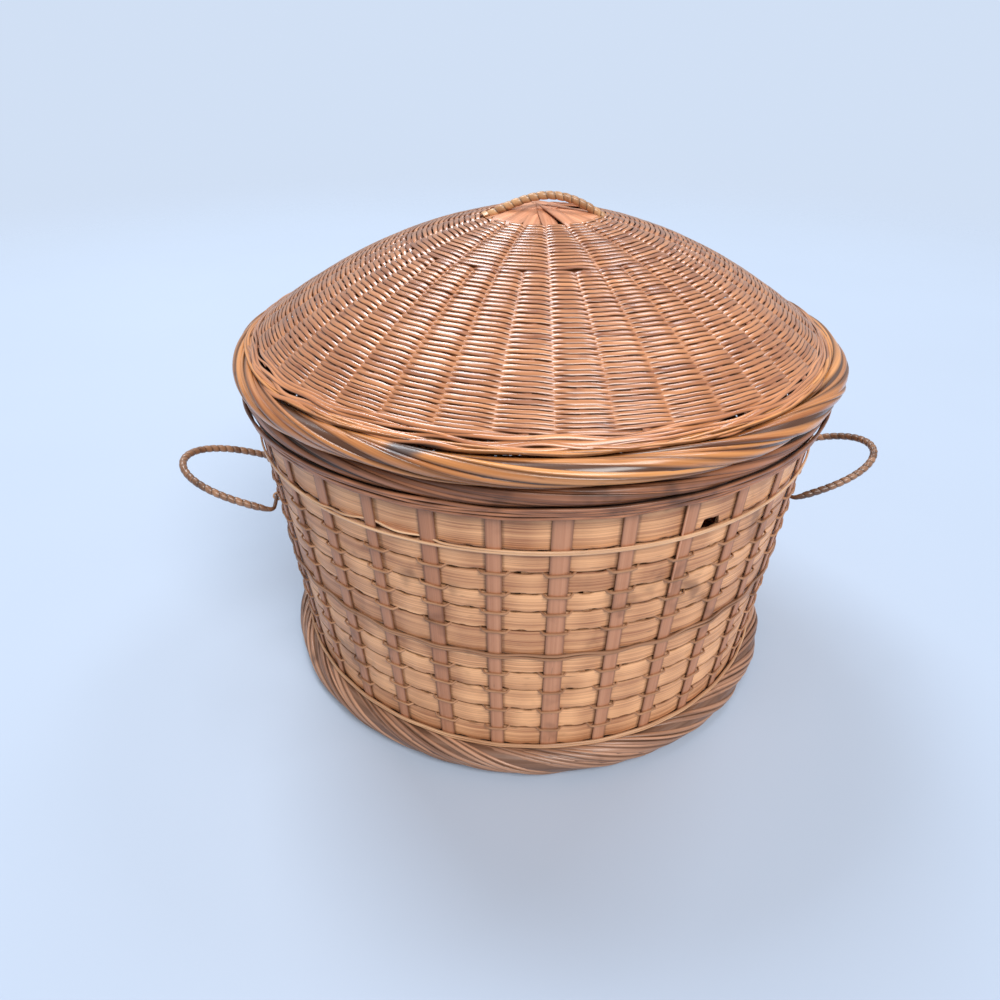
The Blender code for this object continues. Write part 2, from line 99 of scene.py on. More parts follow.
def polar(radius, azimuth, height):
    """Points at a distance from the middle line, an azimuth from the front to +X, and a height."""
    radius, azimuth, height = np.broadcast_arrays(radius, azimuth, height)
    return np.stack([radius * np.sin(azimuth), -radius * np.cos(azimuth), height], axis=-1)


def radial(azimuth):
    """The level unit vectors that point away from the middle line."""
    return polar(1, azimuth, 0)


def along(azimuth):
    """The level unit vectors in which the azimuth grows."""
    azimuth = np.asarray(azimuth, float)
    return np.stack([np.cos(azimuth), np.sin(azimuth), np.zeros_like(azimuth)], axis=-1)


def unit(vectors):
    """Vectors divided by their own lengths."""
    return vectors / np.linalg.norm(vectors, axis=-1, keepdims=True)


def ring(count):
    """Azimuths spread evenly round the basket."""
    return TAU * np.arange(count) / count


def ripple(azimuth, seed, low=2, high=14, terms=6):
    """A smooth closed wave from about -1 to 1: cosines of whole counts with seeded phases, added."""
    draw = np.random.default_rng(seed)
    counts = draw.integers(low, high, terms)
    phases = draw.uniform(0, TAU, terms)
    weights = draw.uniform(0.5, 1, terms)
    return np.cos(np.asarray(azimuth)[..., None] * counts + phases) @ weights / np.sqrt(
        (weights ** 2).sum()
    )


def shade(azimuth, middle, swing, seed, low, high, top=1.1):
    """Tones along a strand: a middle tone and a wave of some swing, held between 0 and a top."""
    return np.clip(middle + swing * ripple(azimuth, seed, low, high), 0, top)


def mound(value, middle, width):
    """A bell that is 1 at its middle and falls off over its width."""
    return np.exp(-((value - middle) / width) ** 2)


def degrees_from_front(azimuth):
    """Azimuths in degrees from -180 to 180, with the front at 0."""
    return np.degrees((azimuth + math.pi) % TAU - math.pi)


def wall_radius(height):
    """Radius of the stakes' outer faces, which grows evenly from foot to rim."""
    return WALL_FOOT_RADIUS + (WALL_RIM_RADIUS - WALL_FOOT_RADIUS) * (height - FOOT_HEIGHT) / WALL_HEIGHT


def crown_height(radius):
    """Height of the dome: a cone that rounds over towards its edge, as in the CAD."""
    share = np.asarray(radius) / CROWN_EDGE_RADIUS
    curve = (1 - CROWN_CONE_SHARE) * share ** CROWN_POWER
    return CROWN_EDGE_HEIGHT + CROWN_RISE * (1 - CROWN_CONE_SHARE * share - curve)


def lean(points):
    """Carries points sideways in proportion to their height over the dome's edge."""
    share = np.maximum(0, (points[..., 2] - CROWN_EDGE_HEIGHT) / CROWN_RISE)
    return points + np.stack([CROWN_LEAN * share, 0 * share, 0 * share], axis=-1)


def crown_profile(distance, depth):
    """Radius and height at a distance down the dome's slope and a depth along its normal.

    The slope's length is added up on a fine table, and the normal is the slope's run turned
    through a right angle.
    """
    radii = np.linspace(WEAVE_START * 0.2, CROWN_EDGE_RADIUS * 1.02, 600)
    heights = crown_height(radii)
    run = np.concatenate([[0], np.cumsum(np.hypot(np.diff(radii), np.diff(heights)))])
    start = np.interp(WEAVE_START, radii, run)
    radius = np.interp(distance + start, run, radii)
    slope = np.gradient(heights, radii)
    grade = np.interp(radius, radii, slope)
    length = np.hypot(1, grade)
    return radius - depth * (-grade / length), crown_height(radius) - depth / length, grade


def crown_path(azimuth, distance, depth):
    """A path round the leaning dome at a distance down its slope, with the dome's normals."""
    radius, height, grade = crown_profile(distance, depth)
    return lean(polar(radius, azimuth, height)), unit(polar(-grade, azimuth, 1.0))


def crown_length():
    """Length of the dome's slope from the first woven row to its edge."""
    radii = np.linspace(WEAVE_START, CROWN_EDGE_RADIUS, 400)
    return np.hypot(np.diff(radii), np.diff(crown_height(radii))).sum()


def carried(path, normal, closed):
    """Unit vectors across a path and off it, square to its run and near the wanted normal."""
    if closed:
        run = np.roll(path, -1, axis=0) - np.roll(path, 1, axis=0)
    else:
        run = np.gradient(path, axis=0)
    across = unit(np.cross(run, np.broadcast_to(normal, path.shape)))
    return across, unit(np.cross(across, run))


def even(path, count, closed):
    """A path spread again at even distances along itself."""
    if closed:
        path = np.concatenate([path, path[:1]])
    steps = np.linalg.norm(np.diff(path, axis=0), axis=1)
    run = np.concatenate([[0], np.cumsum(steps)])
    target = np.linspace(0, run[-1], count + 1)[:-1] if closed else np.linspace(0, run[-1], count)
    return np.stack([np.interp(target, run, path[:, axis]) for axis in range(3)], axis=1), run[-1]


def eased(corners, steps):
    """A soft curve through all corners, by the cubic that keeps its slope at each of them."""
    before = np.concatenate([corners[:1], corners[:-2]])
    start = corners[:-1]
    end = corners[1:]
    after = np.concatenate([corners[2:], corners[-1:]])
    t = (np.arange(steps) / steps)[None, :, None]
    before, start, end, after = (item[:, None, :] for item in (before, start, end, after))
    bend = (2 * before - 5 * start + 4 * end - after) * t * t
    twist = (3 * start - before - 3 * end + after) * t * t * t
    curve = start + ((end - before) * t + bend + twist) / 2
    return np.concatenate([curve.reshape(-1, 3), corners[-1:]])


class Pile:
    """Gathers tubes into one mesh, each point with its place on its strand, tone and painted shade."""

    def __init__(self):
        self.points = []
        self.lay = []
        self.tone = []
        self.grime = []
        self.corners = []
        self.sizes = []
        self.count = 0

    def add(self, rings, lay, tone=0.5, grime=0.0, closed=True):
        """Joins each section of a tube to the next one, and caps the two ends of an open tube.

        Rings holds stations x sides x 3. The faces are turned so that they look away from the
        middle of their own section.
        """
        stations, sides = rings.shape[:2]
        first = np.arange(stations if closed else stations - 1)[:, None]
        side = np.arange(sides)[None, :]
        after = (first + 1) % stations
        beside = (side + 1) % sides
        quads = [first * sides + side, first * sides + beside, after * sides + beside, after * sides + side]
        faces = np.stack(np.broadcast_arrays(*quads), axis=-1).reshape(-1, 4)
        flat = rings.reshape(-1, 3)
        corner = flat[faces]
        normal = np.cross(corner[:, 2] - corner[:, 0], corner[:, 3] - corner[:, 1])
        middle = rings.mean(axis=1)[faces[:, 0] // sides]
        caps = [] if closed else [np.arange(sides)[::-1], np.arange(sides) + (stations - 1) * sides]
        if (normal * (corner.mean(axis=1) - middle)).sum() < 0:
            faces = faces[:, ::-1]
            caps = [cap[::-1] for cap in caps]
        self.corners.append(faces.ravel() + self.count)
        self.sizes.append(np.full(len(faces), 4))
        for cap in caps:
            self.corners.append(cap + self.count)
            self.sizes.append(np.array([sides]))
        self.points.append(flat)
        self.lay.append(np.broadcast_to(lay, rings.shape).reshape(-1, 3))
        self.tone.append(np.broadcast_to(tone, rings.shape[:2]).ravel())
        self.grime.append(np.broadcast_to(grime, rings.shape[:2]).ravel())
        self.count += len(flat)

    def make(self, name, finish, body, slot, *nodes, sharp=50):
        """Puts the gathered tubes into one object that rides on a body and stands for nodes."""
        mesh = bpy.data.meshes.new(name)
        corners = np.concatenate(self.corners).astype(np.int32)
        sizes = np.concatenate(self.sizes)
        starts = np.concatenate([[0], np.cumsum(sizes)[:-1]]).astype(np.int32)
        mesh.vertices.add(self.count)
        mesh.vertices.foreach_set("co", np.concatenate(self.points).astype(np.float32).ravel())
        mesh.loops.add(len(corners))
        mesh.loops.foreach_set("vertex_index", corners)
        mesh.polygons.add(len(sizes))
        mesh.polygons.foreach_set("loop_start", starts)
        mesh.update(calc_edges=True)
        lay = mesh.attributes.new("lay", "FLOAT_VECTOR", "POINT")
        lay.data.foreach_set("vector", np.concatenate(self.lay).astype(np.float32).ravel())
        for title, values in (("tone", self.tone), ("grime", self.grime)):
            attribute = mesh.attributes.new(title, "FLOAT", "POINT")
            attribute.data.foreach_set("value", np.concatenate(values).astype(np.float32))
        mesh.shade_smooth()
        mesh.set_sharp_from_angle(angle=math.radians(sharp))
        mesh.materials.append(finish)
        piece = bpy.data.objects.new(name, mesh)
        bpy.context.scene.collection.objects.link(piece)
        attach(piece, body)
        if nodes:
            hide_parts(*nodes)
        return piece


def strand(
    pile, path, normal, width, thickness, sides=8, tone=0.5, closed=True, square=0.8, tilt=0.0, edge=0.5,
    shift=0.0
):
    """Sweeps a flattened oval along a path.

    The section is (cos, sin) of an angle, each raised to a power under 1 to square it, times
    half the width across the path and half the thickness off it, turned by the tilt. Width
    and thickness may change along the path. Painted shade darkens the section's two edges,
    by the edge amount.
    """
    across, off = carried(path, normal, closed)
    turned = math.cos(tilt) * across + math.sin(tilt) * off
    off = math.cos(tilt) * off - math.sin(tilt) * across
    angle = TAU * (np.arange(sides) + 0.5) / sides
    x = np.sign(np.cos(angle)) * np.abs(np.cos(angle)) ** square
    y = np.sign(np.sin(angle)) * np.abs(np.sin(angle)) ** square
    wide = np.broadcast_to(width, len(path))[:, None] / 2 * x
    thick = np.broadcast_to(thickness, len(path))[:, None] / 2 * y
    rings = path[:, None] + wide[..., None] * turned[:, None] + thick[..., None] * off[:, None]
    if closed:
        run = path[:, :2]
    else:
        steps = np.linalg.norm(np.diff(path, axis=0), axis=1)
        run = np.stack([np.concatenate([[0], np.cumsum(steps)]), np.zeros(len(path))], axis=1)
    lay = np.concatenate(
        [np.broadcast_to(run[:, None] + shift, (*wide.shape, 2)), wide[..., None] + shift], axis=-1
    )
    tone = np.asarray(tone)
    if tone.ndim == 1:
        tone = tone[:, None]
    # Painted shade: the section's outer edges are darkened, standing in for the shade in the gaps between
    # strands.
    grime = edge * np.clip((np.abs(x) - 0.5) * 2, 0, 1)
    pile.add(rings, lay, tone, grime, closed)


def rope(
    pile, azimuth, centre, half, groups, turns, thickness, seed, sway=0.2, bulge=0.0010, gap=0.6, loose=0.0,
    edge=0.9
):
    """A border of cords that lie side by side round an oval ring, each of a few flat canes.

    A group holds the widths of one cord's canes, and the groups share the section's whole
    turn by their widths and gaps. Each cord's section angle falls by so many turns round the
    basket, so that it closes on itself, and drifts by a slow ripple. A cane lies half its
    thickness inside the oval, and deeper and more tilted the further it is from its cord's
    middle, so that the cords look round. The looser the border is at a place, the narrower
    its canes are there.
    """
    radius, height = centre
    draw = np.random.default_rng(seed)
    scale = TAU / sum(sum(group) + gap * 0.001 for group in groups)
    start = 0.0
    for number, group in enumerate(groups):
        middle = start + sum(group) / 2
        drift = sway * ripple(azimuth, seed + 7 * number, 1, 6)
        sunk = 0.0004 * (1 + ripple(azimuth, seed + 11 * number, 2, 7))
        base = draw.uniform(0.15, 0.9)
        for index, width in enumerate(group):
            place = start + width / 2
            start += width
            aside = 2 * (place - middle) / sum(group)
            angle = place * scale - turns * azimuth + drift
            depth = thickness / 2 + sunk + bulge * aside ** 2
            level = height + (half[1] - depth) * np.sin(angle)
            path = polar(radius + (half[0] - depth) * np.cos(angle), azimuth, level)
            outward = (np.cos(angle) / half[0])[:, None] * radial(azimuth)
            normal = outward + (np.sin(angle) / half[1])[:, None] * (0, 0, 1)
            swell = ripple(azimuth, seed + 13 * number + index, 1, 7)
            wide = 1.06 * width * (1 - loose) * (1 + 0.12 * swell)
            wave = ripple(azimuth, seed + 17 * number + index, 2, 16)
            tone = base + draw.uniform(-0.3, 0.3) + 0.25 * wave
            tilt = 0.6 * aside + draw.uniform(-0.08, 0.12)
            tone = np.clip(tone, 0, 1.1)
            strand(
                pile, path, unit(normal), wide, thickness, 12, tone, square=0.75, tilt=tilt, edge=edge,
                shift=0.37 * number + 0.11 * index
            )
        start += gap * 0.001


def shrunk(half, depth):
    """The half sizes of an oval that lies at a depth inside another one."""
    return half[0] - depth, half[1] - depth


def core(pile, azimuth, centre, half, sides=12, tone=0.0, grime=1.0):
    """A dark oval ring that fills the middle of a border; its dark colour is painted shade, so that the
    gaps between the canes read as shadow.
    """
    angle = TAU * np.arange(sides) / sides
    middle = np.broadcast_to(centre[0], azimuth.shape)[:, None]
    rings = polar(middle + half[0] * np.cos(angle), azimuth[:, None], centre[1] + half[1] * np.sin(angle))
    pile.add(rings, rings, tone, grime)


def fine_strands(pile, azimuth, places, width, thickness, seed, sway=0.0007, tone=0.7):
    """Thin strands that wander round the basket, one for each (radius, height) place."""
    for index, (radius, height) in enumerate(places):
        drift = ripple(azimuth, seed + 5 * index, 3, 18)
        lift = ripple(azimuth, seed + 5 * index + 1, 3, 22)
        path = polar(radius + sway * drift, azimuth, height + 0.7 * sway * lift)
        tones = shade(azimuth, tone, 0.3, seed + 5 * index + 2, 2, 18)
        wide = width * (1 + 0.2 * ripple(azimuth, seed + 5 * index + 3, 2, 12))
        strand(pile, path, (0, 0, 1), wide, thickness, 8, tones, edge=0.9, shift=0.3 * index)


# Finishes


class Value:
    """A number socket on which arithmetic adds Math nodes."""

    def __init__(self, finish, socket):
        self.finish = finish
        self.socket = socket

    def combine(self, operation, first, second):
        made = self.finish.node("ShaderNodeMath", {"operation": operation}, {0: first, 1: second})
        return Value(self.finish, made.outputs[0])

    def __add__(self, other):
        return self.combine("ADD", self, other)

    def __radd__(self, other):
        return self.combine("ADD", other, self)

    def __sub__(self, other):
        return self.combine("SUBTRACT", self, other)

    def __rsub__(self, other):
        return self.combine("SUBTRACT", other, self)

    def __mul__(self, other):
        return self.combine("MULTIPLY", self, other)

    def __rmul__(self, other):
        return self.combine("MULTIPLY", other, self)

    def __pow__(self, other):
        return self.combine("POWER", self, other)


class Finish:
    """One node material, built from nodes that take their settings first and then their inputs."""

    def __init__(self, name):
        self.material = bpy.data.materials.new(name)
        self.material.use_nodes = True
        self.tree = self.material.node_tree
        self.shader = self.tree.nodes["Principled BSDF"]

    def node(self, kind, settings=None, inputs=None):
        """Adds a node, sets it up and fills or links its inputs."""
        made = self.tree.nodes.new(kind)
        for title, value in (settings or {}).items():
            setattr(made, title, value)
        for title, value in (inputs or {}).items():
            self.feed(made.inputs[title], value)
        return made

    def feed(self, socket, value):
        """Links a socket to a value, or writes a plain number or colour into it."""
        if isinstance(value, Value):
            value = value.socket
        if isinstance(value, bpy.types.NodeSocket):
            self.tree.links.new(value, socket)
        else:
            socket.default_value = value

    def attribute(self, title):
        """A number stored on the mesh's points."""
        made = self.node("ShaderNodeAttribute", {"attribute_name": title, "attribute_type": "GEOMETRY"})
        return Value(self, made.outputs["Fac"])

    def lay(self, low, high):
        """The strand's own coordinates: stretched along it by a low scale, fine across it."""
        made = self.node("ShaderNodeAttribute", {"attribute_name": "lay", "attribute_type": "GEOMETRY"})
        scaled = self.node(
            "ShaderNodeVectorMath", {"operation": "MULTIPLY"},
            {0: made.outputs["Vector"], 1: (low, low, high)}
        )
        return scaled.outputs[0]

    def object_place(self):
        """The place on the object, in metres."""
        return self.node("ShaderNodeTexCoord").outputs["Object"]

    def noise(self, vector, scale, detail=3.0, roughness=0.55):
        """Smooth noise from 0 to 1."""
        inputs = {"Vector": vector, "Scale": scale, "Detail": detail, "Roughness": roughness}
        return Value(self, self.node("ShaderNodeTexNoise", None, inputs).outputs["Fac"])

    def ramp(self, value, low, high, start=0.0, end=1.0):
        """A value brought from one range to another, held at its ends and eased between them."""
        settings = {"interpolation_type": "SMOOTHSTEP", "clamp": True}
        inputs = {"Value": value, "From Min": low, "From Max": high, "To Min": start, "To Max": end}
        return Value(self, self.node("ShaderNodeMapRange", settings, inputs).outputs["Result"])

    def mix(self, factor, first, second, blend="MIX"):
        """Two colours mixed by a factor."""
        made = self.node("ShaderNodeMix", {"data_type": "RGBA", "blend_type": blend}, {"Factor": factor})
        colour_in = [socket for socket in made.inputs if socket.type == "RGBA"]
        self.feed(colour_in[0], first)
        self.feed(colour_in[1], second)
        return next(socket for socket in made.outputs if socket.type == "RGBA")

    def patch(self, place, reach):
        """A ragged spot: 1 within about half its reach of a place, 0 beyond the reach."""
        away = self.node(
            "ShaderNodeVectorMath", {"operation": "SUBTRACT"}, {0: self.object_place(), 1: place}
        )
        scaled = self.node("ShaderNodeVectorMath", {"operation": "DIVIDE"}, {0: away.outputs[0], 1: reach})
        length = self.node("ShaderNodeVectorMath", {"operation": "LENGTH"}, {0: scaled.outputs[0]})
        ragged = Value(self, length.outputs["Value"]) + self.noise(self.lay(40.0, 300.0), 1.0) * 0.5
        return self.ramp(ragged, 0.75, 1.25, 1.0, 0.0)

    def bump(self, height, strength, distance):
        """A normal raised by a height."""
        inputs = {"Height": height, "Strength": strength, "Distance": distance}
        return self.node("ShaderNodeBump", None, inputs).outputs["Normal"]


def solid(colour):
    """A colour property with full alpha."""
    return (*colour, 1.0)


def cane_finish(
    name, light, dark, stain, fibre=900.0, run=14.0, roughness=0.42, coat=0.0, bump=0.35,
    stains=(0.56, 0.74), grain=0.6, burn=None, blur=0.14
):
    """Split cane or bamboo: long fibres, a tone for each strand, stains and painted shade on edges and in
    gaps.

    Blur is how far the noise of the fibres may lie from its middle before they are fully
    light or dark. Burn is the place and the reach of a burnt patch, in metres.
    """
    finish = Finish(name)
    fibres = finish.noise(finish.lay(run, fibre), 1.0, 4.0, 0.6)
    streaks = finish.noise(finish.lay(run * 0.4, fibre * 0.28), 1.0, 3.0, 0.5)
    tone = finish.attribute("tone")
    fine, broad = (
        finish.ramp(noise, 0.5 - blur, 0.5 + blur) * (grain * 0.5) for noise in (fibres, streaks)
    )
    mixed = tone * (1 - grain) + fine + broad
    colour = finish.mix(mixed, solid(dark), solid(light))
    clouds = finish.noise(finish.object_place(), 26.0, 3.0, 0.6)
    colour = finish.mix(finish.ramp(clouds, *stains) * 0.7, colour, solid(stain))
    specks = finish.noise(finish.lay(60.0, 500.0), 1.0, 2.0, 0.5)
    colour = finish.mix(finish.ramp(specks, 0.66, 0.8) * 0.55, colour, solid([part * 0.3 for part in dark]))
    finish.shader.inputs["Coat Weight"].default_value = coat
    if burn:
        burnt = finish.patch(*burn)
        colour = finish.mix(burnt * 0.9, colour, solid((0.085, 0.09, 0.10)))
        finish.feed(finish.shader.inputs["Coat Weight"], coat - burnt * coat)
    # Painted shade: where the mesh marks edges, grooves and gaps, the colour is darkened towards a deep
    # tone of the dark colour.
    colour = finish.mix(finish.attribute("grime") * 0.9, colour, solid([part * 0.16 for part in dark]))
    finish.feed(finish.shader.inputs["Base Color"], colour)
    finish.feed(
        finish.shader.inputs["Roughness"], finish.ramp(fibres, 0.2, 0.8, roughness - 0.1, roughness + 0.14)
    )
    finish.feed(finish.shader.inputs["Normal"], finish.bump(fibres * 0.6 + streaks * 0.4, bump, 0.0004))
    finish.shader.inputs["Coat Roughness"].default_value = 0.2
    return finish.material


# Sizes and colours


def colour_property(name, description, default):
    """A colour that a user may change."""
    return bpy.props.FloatVectorProperty(
        name=name, description=description, default=default, size=3, min=0, max=1, subtype="COLOR"
    )


def length_property(name, description, default):
    """A length in metres that a user may change."""
    return bpy.props.FloatProperty(
        name=name, description=description, default=default, min=0, precision=4,
        subtype="DISTANCE", unit="LENGTH"
    )


class BasketSizes(bpy.types.PropertyGroup):
    """Sizes of the strands."""

    stake_thickness: length_property("Stake thickness", "Thickness of the upright strips", 0.0011)
    twine_width: length_property("Twine width", "Width of the cane twined over the stakes", 0.0017)
    twine_thickness: length_property(
        "Twine thickness", "Thickness of the cane twined over the stakes", 0.0012
    )
    lid_strand_width: length_property("Lid strand width", "Width of a woven strand of the lid", 0.0029)
    lid_strand_thickness: length_property(
        "Lid strand thickness", "Thickness of a woven strand of the lid", 0.0013
    )
    lid_row_pitch: length_property("Lid row pitch", "Distance between rows down the dome's slope", 0.00345)
    lid_border_strand: length_property(
        "Lid border strand", "Width of a wide cane of the lid's border", 0.0050
    )
    rim_border_strand: length_property(
        "Rim border strand", "Width of a wide cane of the rim's border", 0.0040
    )
    foot_border_strand: length_property(
        "Foot border strand", "Width of a wide cane of the foot's border", 0.0034
    )
    handle_wrap: length_property("Handle wrap", "Width of the strip wound round a handle", 0.0047)


class BasketColours(bpy.types.PropertyGroup):
    """Light and dark colours of each kind of cane, and the colour of its stains."""

    band_light: colour_property("Band, light", "Light fibres of the wall bands", (1.00, 0.53, 0.26))
    band_dark: colour_property("Band, dark", "Dark fibres of the wall bands", (0.40, 0.155, 0.068))
    stake_light: colour_property("Stake, light", "Light fibres of the stakes", (0.66, 0.32, 0.185))
    stake_dark: colour_property("Stake, dark", "Dark fibres of the stakes", (0.40, 0.155, 0.072))
    foot_light: colour_property("Foot, light", "Light fibres of the foot border", (0.62, 0.33, 0.20))
    foot_dark: colour_property("Foot, dark", "Dark fibres of the foot border", (0.16, 0.07, 0.04))
    rim_light: colour_property("Rim, light", "Light fibres of the rim border", (0.56, 0.225, 0.105))
    rim_dark: colour_property("Rim, dark", "Dark fibres of the rim border", (0.12, 0.040, 0.019))
    border_light: colour_property("Lid border, light", "Light fibres of the lid border", (0.84, 0.36, 0.11))
    border_dark: colour_property("Lid border, dark", "Dark fibres of the lid border", (0.32, 0.095, 0.027))
    weave_light: colour_property("Weave, light", "Light fibres of the lid weave", (0.80, 0.33, 0.13))
    weave_dark: colour_property("Weave, dark", "Dark fibres of the lid weave", (0.34, 0.105, 0.038))
    pale_light: colour_property("Pale cane, light", "Light fibres of hoops and twine", (0.95, 0.58, 0.33))
    pale_dark: colour_property("Pale cane, dark", "Dark fibres of hoops and twine", (0.46, 0.22, 0.105))
    twine_light: colour_property(
        "Twine, light", "Light fibres of the wall's twined cane", (0.56, 0.29, 0.15)
    )
    twine_dark: colour_property("Twine, dark", "Dark fibres of the wall's twined cane", (0.30, 0.13, 0.06))
    wrap_light: colour_property("Wrap, light", "Light fibres of the handle wraps", (0.74, 0.42, 0.20))
    wrap_dark: colour_property("Wrap, dark", "Dark fibres of the handle wraps", (0.26, 0.11, 0.045))
    ear_light: colour_property(
        "Side handle, light", "Light fibres of the side handles' wraps", (0.42, 0.22, 0.12)
    )
    ear_dark: colour_property(
        "Side handle, dark", "Dark fibres of the side handles' wraps", (0.12, 0.05, 0.025)
    )
    rib_light: colour_property("Rib, light", "Light fibres of the lid's ribs", (0.95, 0.44, 0.24))
    rib_dark: colour_property("Rib, dark", "Dark fibres of the lid's ribs", (0.50, 0.19, 0.095))
    floor: colour_property("Table", "Colour of the table top", (0.45, 0.53, 0.66))


class BasketOperator:
    """What all the basket's operators share."""

    bl_options = {"REGISTER", "UNDO"}

    @property
    def sizes(self):
        return bpy.context.scene.basket_sizes

    @property
    def colours(self):
        return bpy.context.scene.basket_colours

    def finish(self, name, kind, stain_share=0.45, **settings):
        """The finish of one kind of cane, stained with a deeper shade of its dark colour."""
        light = tuple(getattr(self.colours, f"{kind}_light"))
        dark = tuple(getattr(self.colours, f"{kind}_dark"))
        stain = tuple(part * stain_share for part in dark)
        return cane_finish(name, light, dark, stain, **settings)


# The basket's pieces


class BASKET_OT_foot_border(BasketOperator, bpy.types.Operator):
    """Twists the dark border that the basket stands on"""

    bl_idname = "basket.foot_border"
    bl_label = "Foot border"

    def execute(self, context):
        pile = Pile()
        azimuth = ring(300)
        centre = (0.17775, 0.0100)
        half = (0.00925, 0.0100)
        shares = (
            (0.9, 0.7, 0.9), (0.6, 0.8, 0.7), (1.0, 0.8), (0.7, 0.6, 0.8), (0.9, 0.9), (0.7, 0.8, 0.6)
        )
        groups = [[self.sizes.foot_border_strand * share for share in group] for group in shares]
        rope(
            pile, azimuth, centre, half, groups, turns=6, thickness=0.0024, seed=301, sway=0.25,
            bulge=0.0016, gap=0.6, edge=0.6
        )
        core(pile, azimuth, centre, shrunk(half, 0.0016), tone=0.2, grime=0.55)
        pile.points = [np.maximum(points, (-1, -1, 0)) for points in pile.points]
        finish = self.finish("foot border cane", "foot", coat=0.25, grain=0.5)
        pile.make("foot_border_strands", finish, BASKET, "foot_cane", "foot_border")
        return {"FINISHED"}


class BASKET_OT_floor_mat(BasketOperator, bpy.types.Operator):
    """Plaits the floor from flat strips"""

    bl_idname = "basket.floor_mat"
    bl_label = "Floor mat"

    def execute(self, context):
        pile = Pile()
        radius = 0.1715
        middle = 0.0199
        width = 0.0088
        thickness = 0.0009
        swell = 0.00055
        count = 39
        pitch = 2 * radius / count
        for way in range(2):
            for index in range(count):
                offset = (index - (count - 1) / 2) * pitch
                reach = math.sqrt(max(radius ** 2 - (abs(offset) + width / 2) ** 2, 0))
                if reach < 2 * pitch:
                    continue
                run = np.linspace(-reach, reach, int(reach / pitch) * 8 + 2)
                wave = swell * np.cos(math.pi * (run / pitch + (count - 1) / 2 + index + way))
                side = np.full_like(run, offset)
                path = np.stack([run, side, middle + wave] if way else [side, run, middle + wave], axis=1)
                tone = 0.3 + 0.5 * ((index * 7 + way * 3) % 5) / 4
                strand(
                    pile, path, (0, 0, 1), width, thickness, 8, tone, False, 0.3, edge=0.4,
                    shift=0.21 * index
                )
        finish = self.finish("floor bamboo", "band", roughness=0.5)
        pile.make("floor_mat", finish, BASKET, "bamboo_band", "base_floor")
        return {"FINISHED"}


class BASKET_OT_wall_bands(BasketOperator, bpy.types.Operator):
    """Lays the flat bamboo bands of the wall"""

    bl_idname = "basket.wall_bands"
    bl_label = "Wall bands"

    def execute(self, context):
        stake_shadow = 0.8
        shadow_place = 0.0044
        shadow_width = 0.0008
        stations = STAKE_COUNT * 28
        azimuth = ring(stations) + STAKE_TURN
        bulge = 0.0007 * np.sin((azimuth - STAKE_TURN) * STAKE_COUNT / 2) ** 2
        across = np.abs(
            (azimuth - STAKE_TURN + STAKE_PITCH / 2) % STAKE_PITCH - STAKE_PITCH / 2
        ) * WALL_RIM_RADIUS
        beside = stake_shadow * mound(across, shadow_place, shadow_width)
        tones = (0.35, 0.6, 0.75, 0.85, 0.55, 0.1, 0.6, 0.8, 0.15, 0.5, 0.6)
        finish = self.finish(
            "bamboo band", "band", fibre=1400.0, run=7.0, roughness=0.42, bump=0.9, grain=0.62, blur=0.09
        )
        for index, tone in enumerate(tones):
            open_low = np.clip(ripple(azimuth, 40 + index, 20, 110), 0, 1)
            open_high = np.clip(ripple(azimuth, 70 + index, 20, 110), 0, 1)
            low = SEAM_HEIGHTS[index] + BAND_GAP / 2 + 0.0008 * open_low
            high = SEAM_HEIGHTS[index + 1] - BAND_GAP / 2 - 0.0008 * open_high
            if index == HOOP_SEAM - 1:
                turned = degrees_from_front(azimuth)
                left = mound(turned, -42, 16)
                high = high - 0.0012 * left * np.clip(1.2 + ripple(azimuth, 66, 8, 60), 0, 2)
            if index == HOOP_SEAM:
                low = low + 0.0052 * ((turned > 26.3) & (turned < 29.8))
            share = np.array((0.0, 0.03, 0.08, 0.5, 0.92, 0.97, 1.0))
            outer_z = low[:, None] + (high - low)[:, None] * share
            belly = 0.0001 * (1 - (2 * share - 1) ** 2) - np.array((0.0003, 0, 0, 0, 0, 0, 0.0003))
            outer = wall_radius(outer_z) - BAND_SETBACK + bulge[:, None] + belly
            inner_z = outer_z[:, ::-1]
            inner = wall_radius(inner_z) - BAND_SETBACK - BAND_THICKNESS + bulge[:, None]
            rings = polar(
                np.concatenate([outer, inner], axis=1), azimuth[:, None],
                np.concatenate([outer_z, inner_z], axis=1)
            )
            pile = Pile()
            shades = shade(azimuth, tone, 0.42, 90 + index, 6, 50)
            rim_share = np.concatenate([share, share[::-1]])
            # Painted shade: the band is darkened along its top and bottom edges at the seams, and a painted
            # shadow falls beside each stake.
            edges = np.clip((np.abs(2 * rim_share - 1) - 0.9) / 0.1, 0, 1)
            grime = np.maximum(edges * 0.6, beside[:, None])
            pile.add(rings, rings + (0.3 * index, 0, 0), shades[:, None], grime)
            pile.make(f"band_{index + 1:02d}", finish, BASKET, "bamboo_band", f"wall_band_{index + 1:02d}")
        return {"FINISHED"}


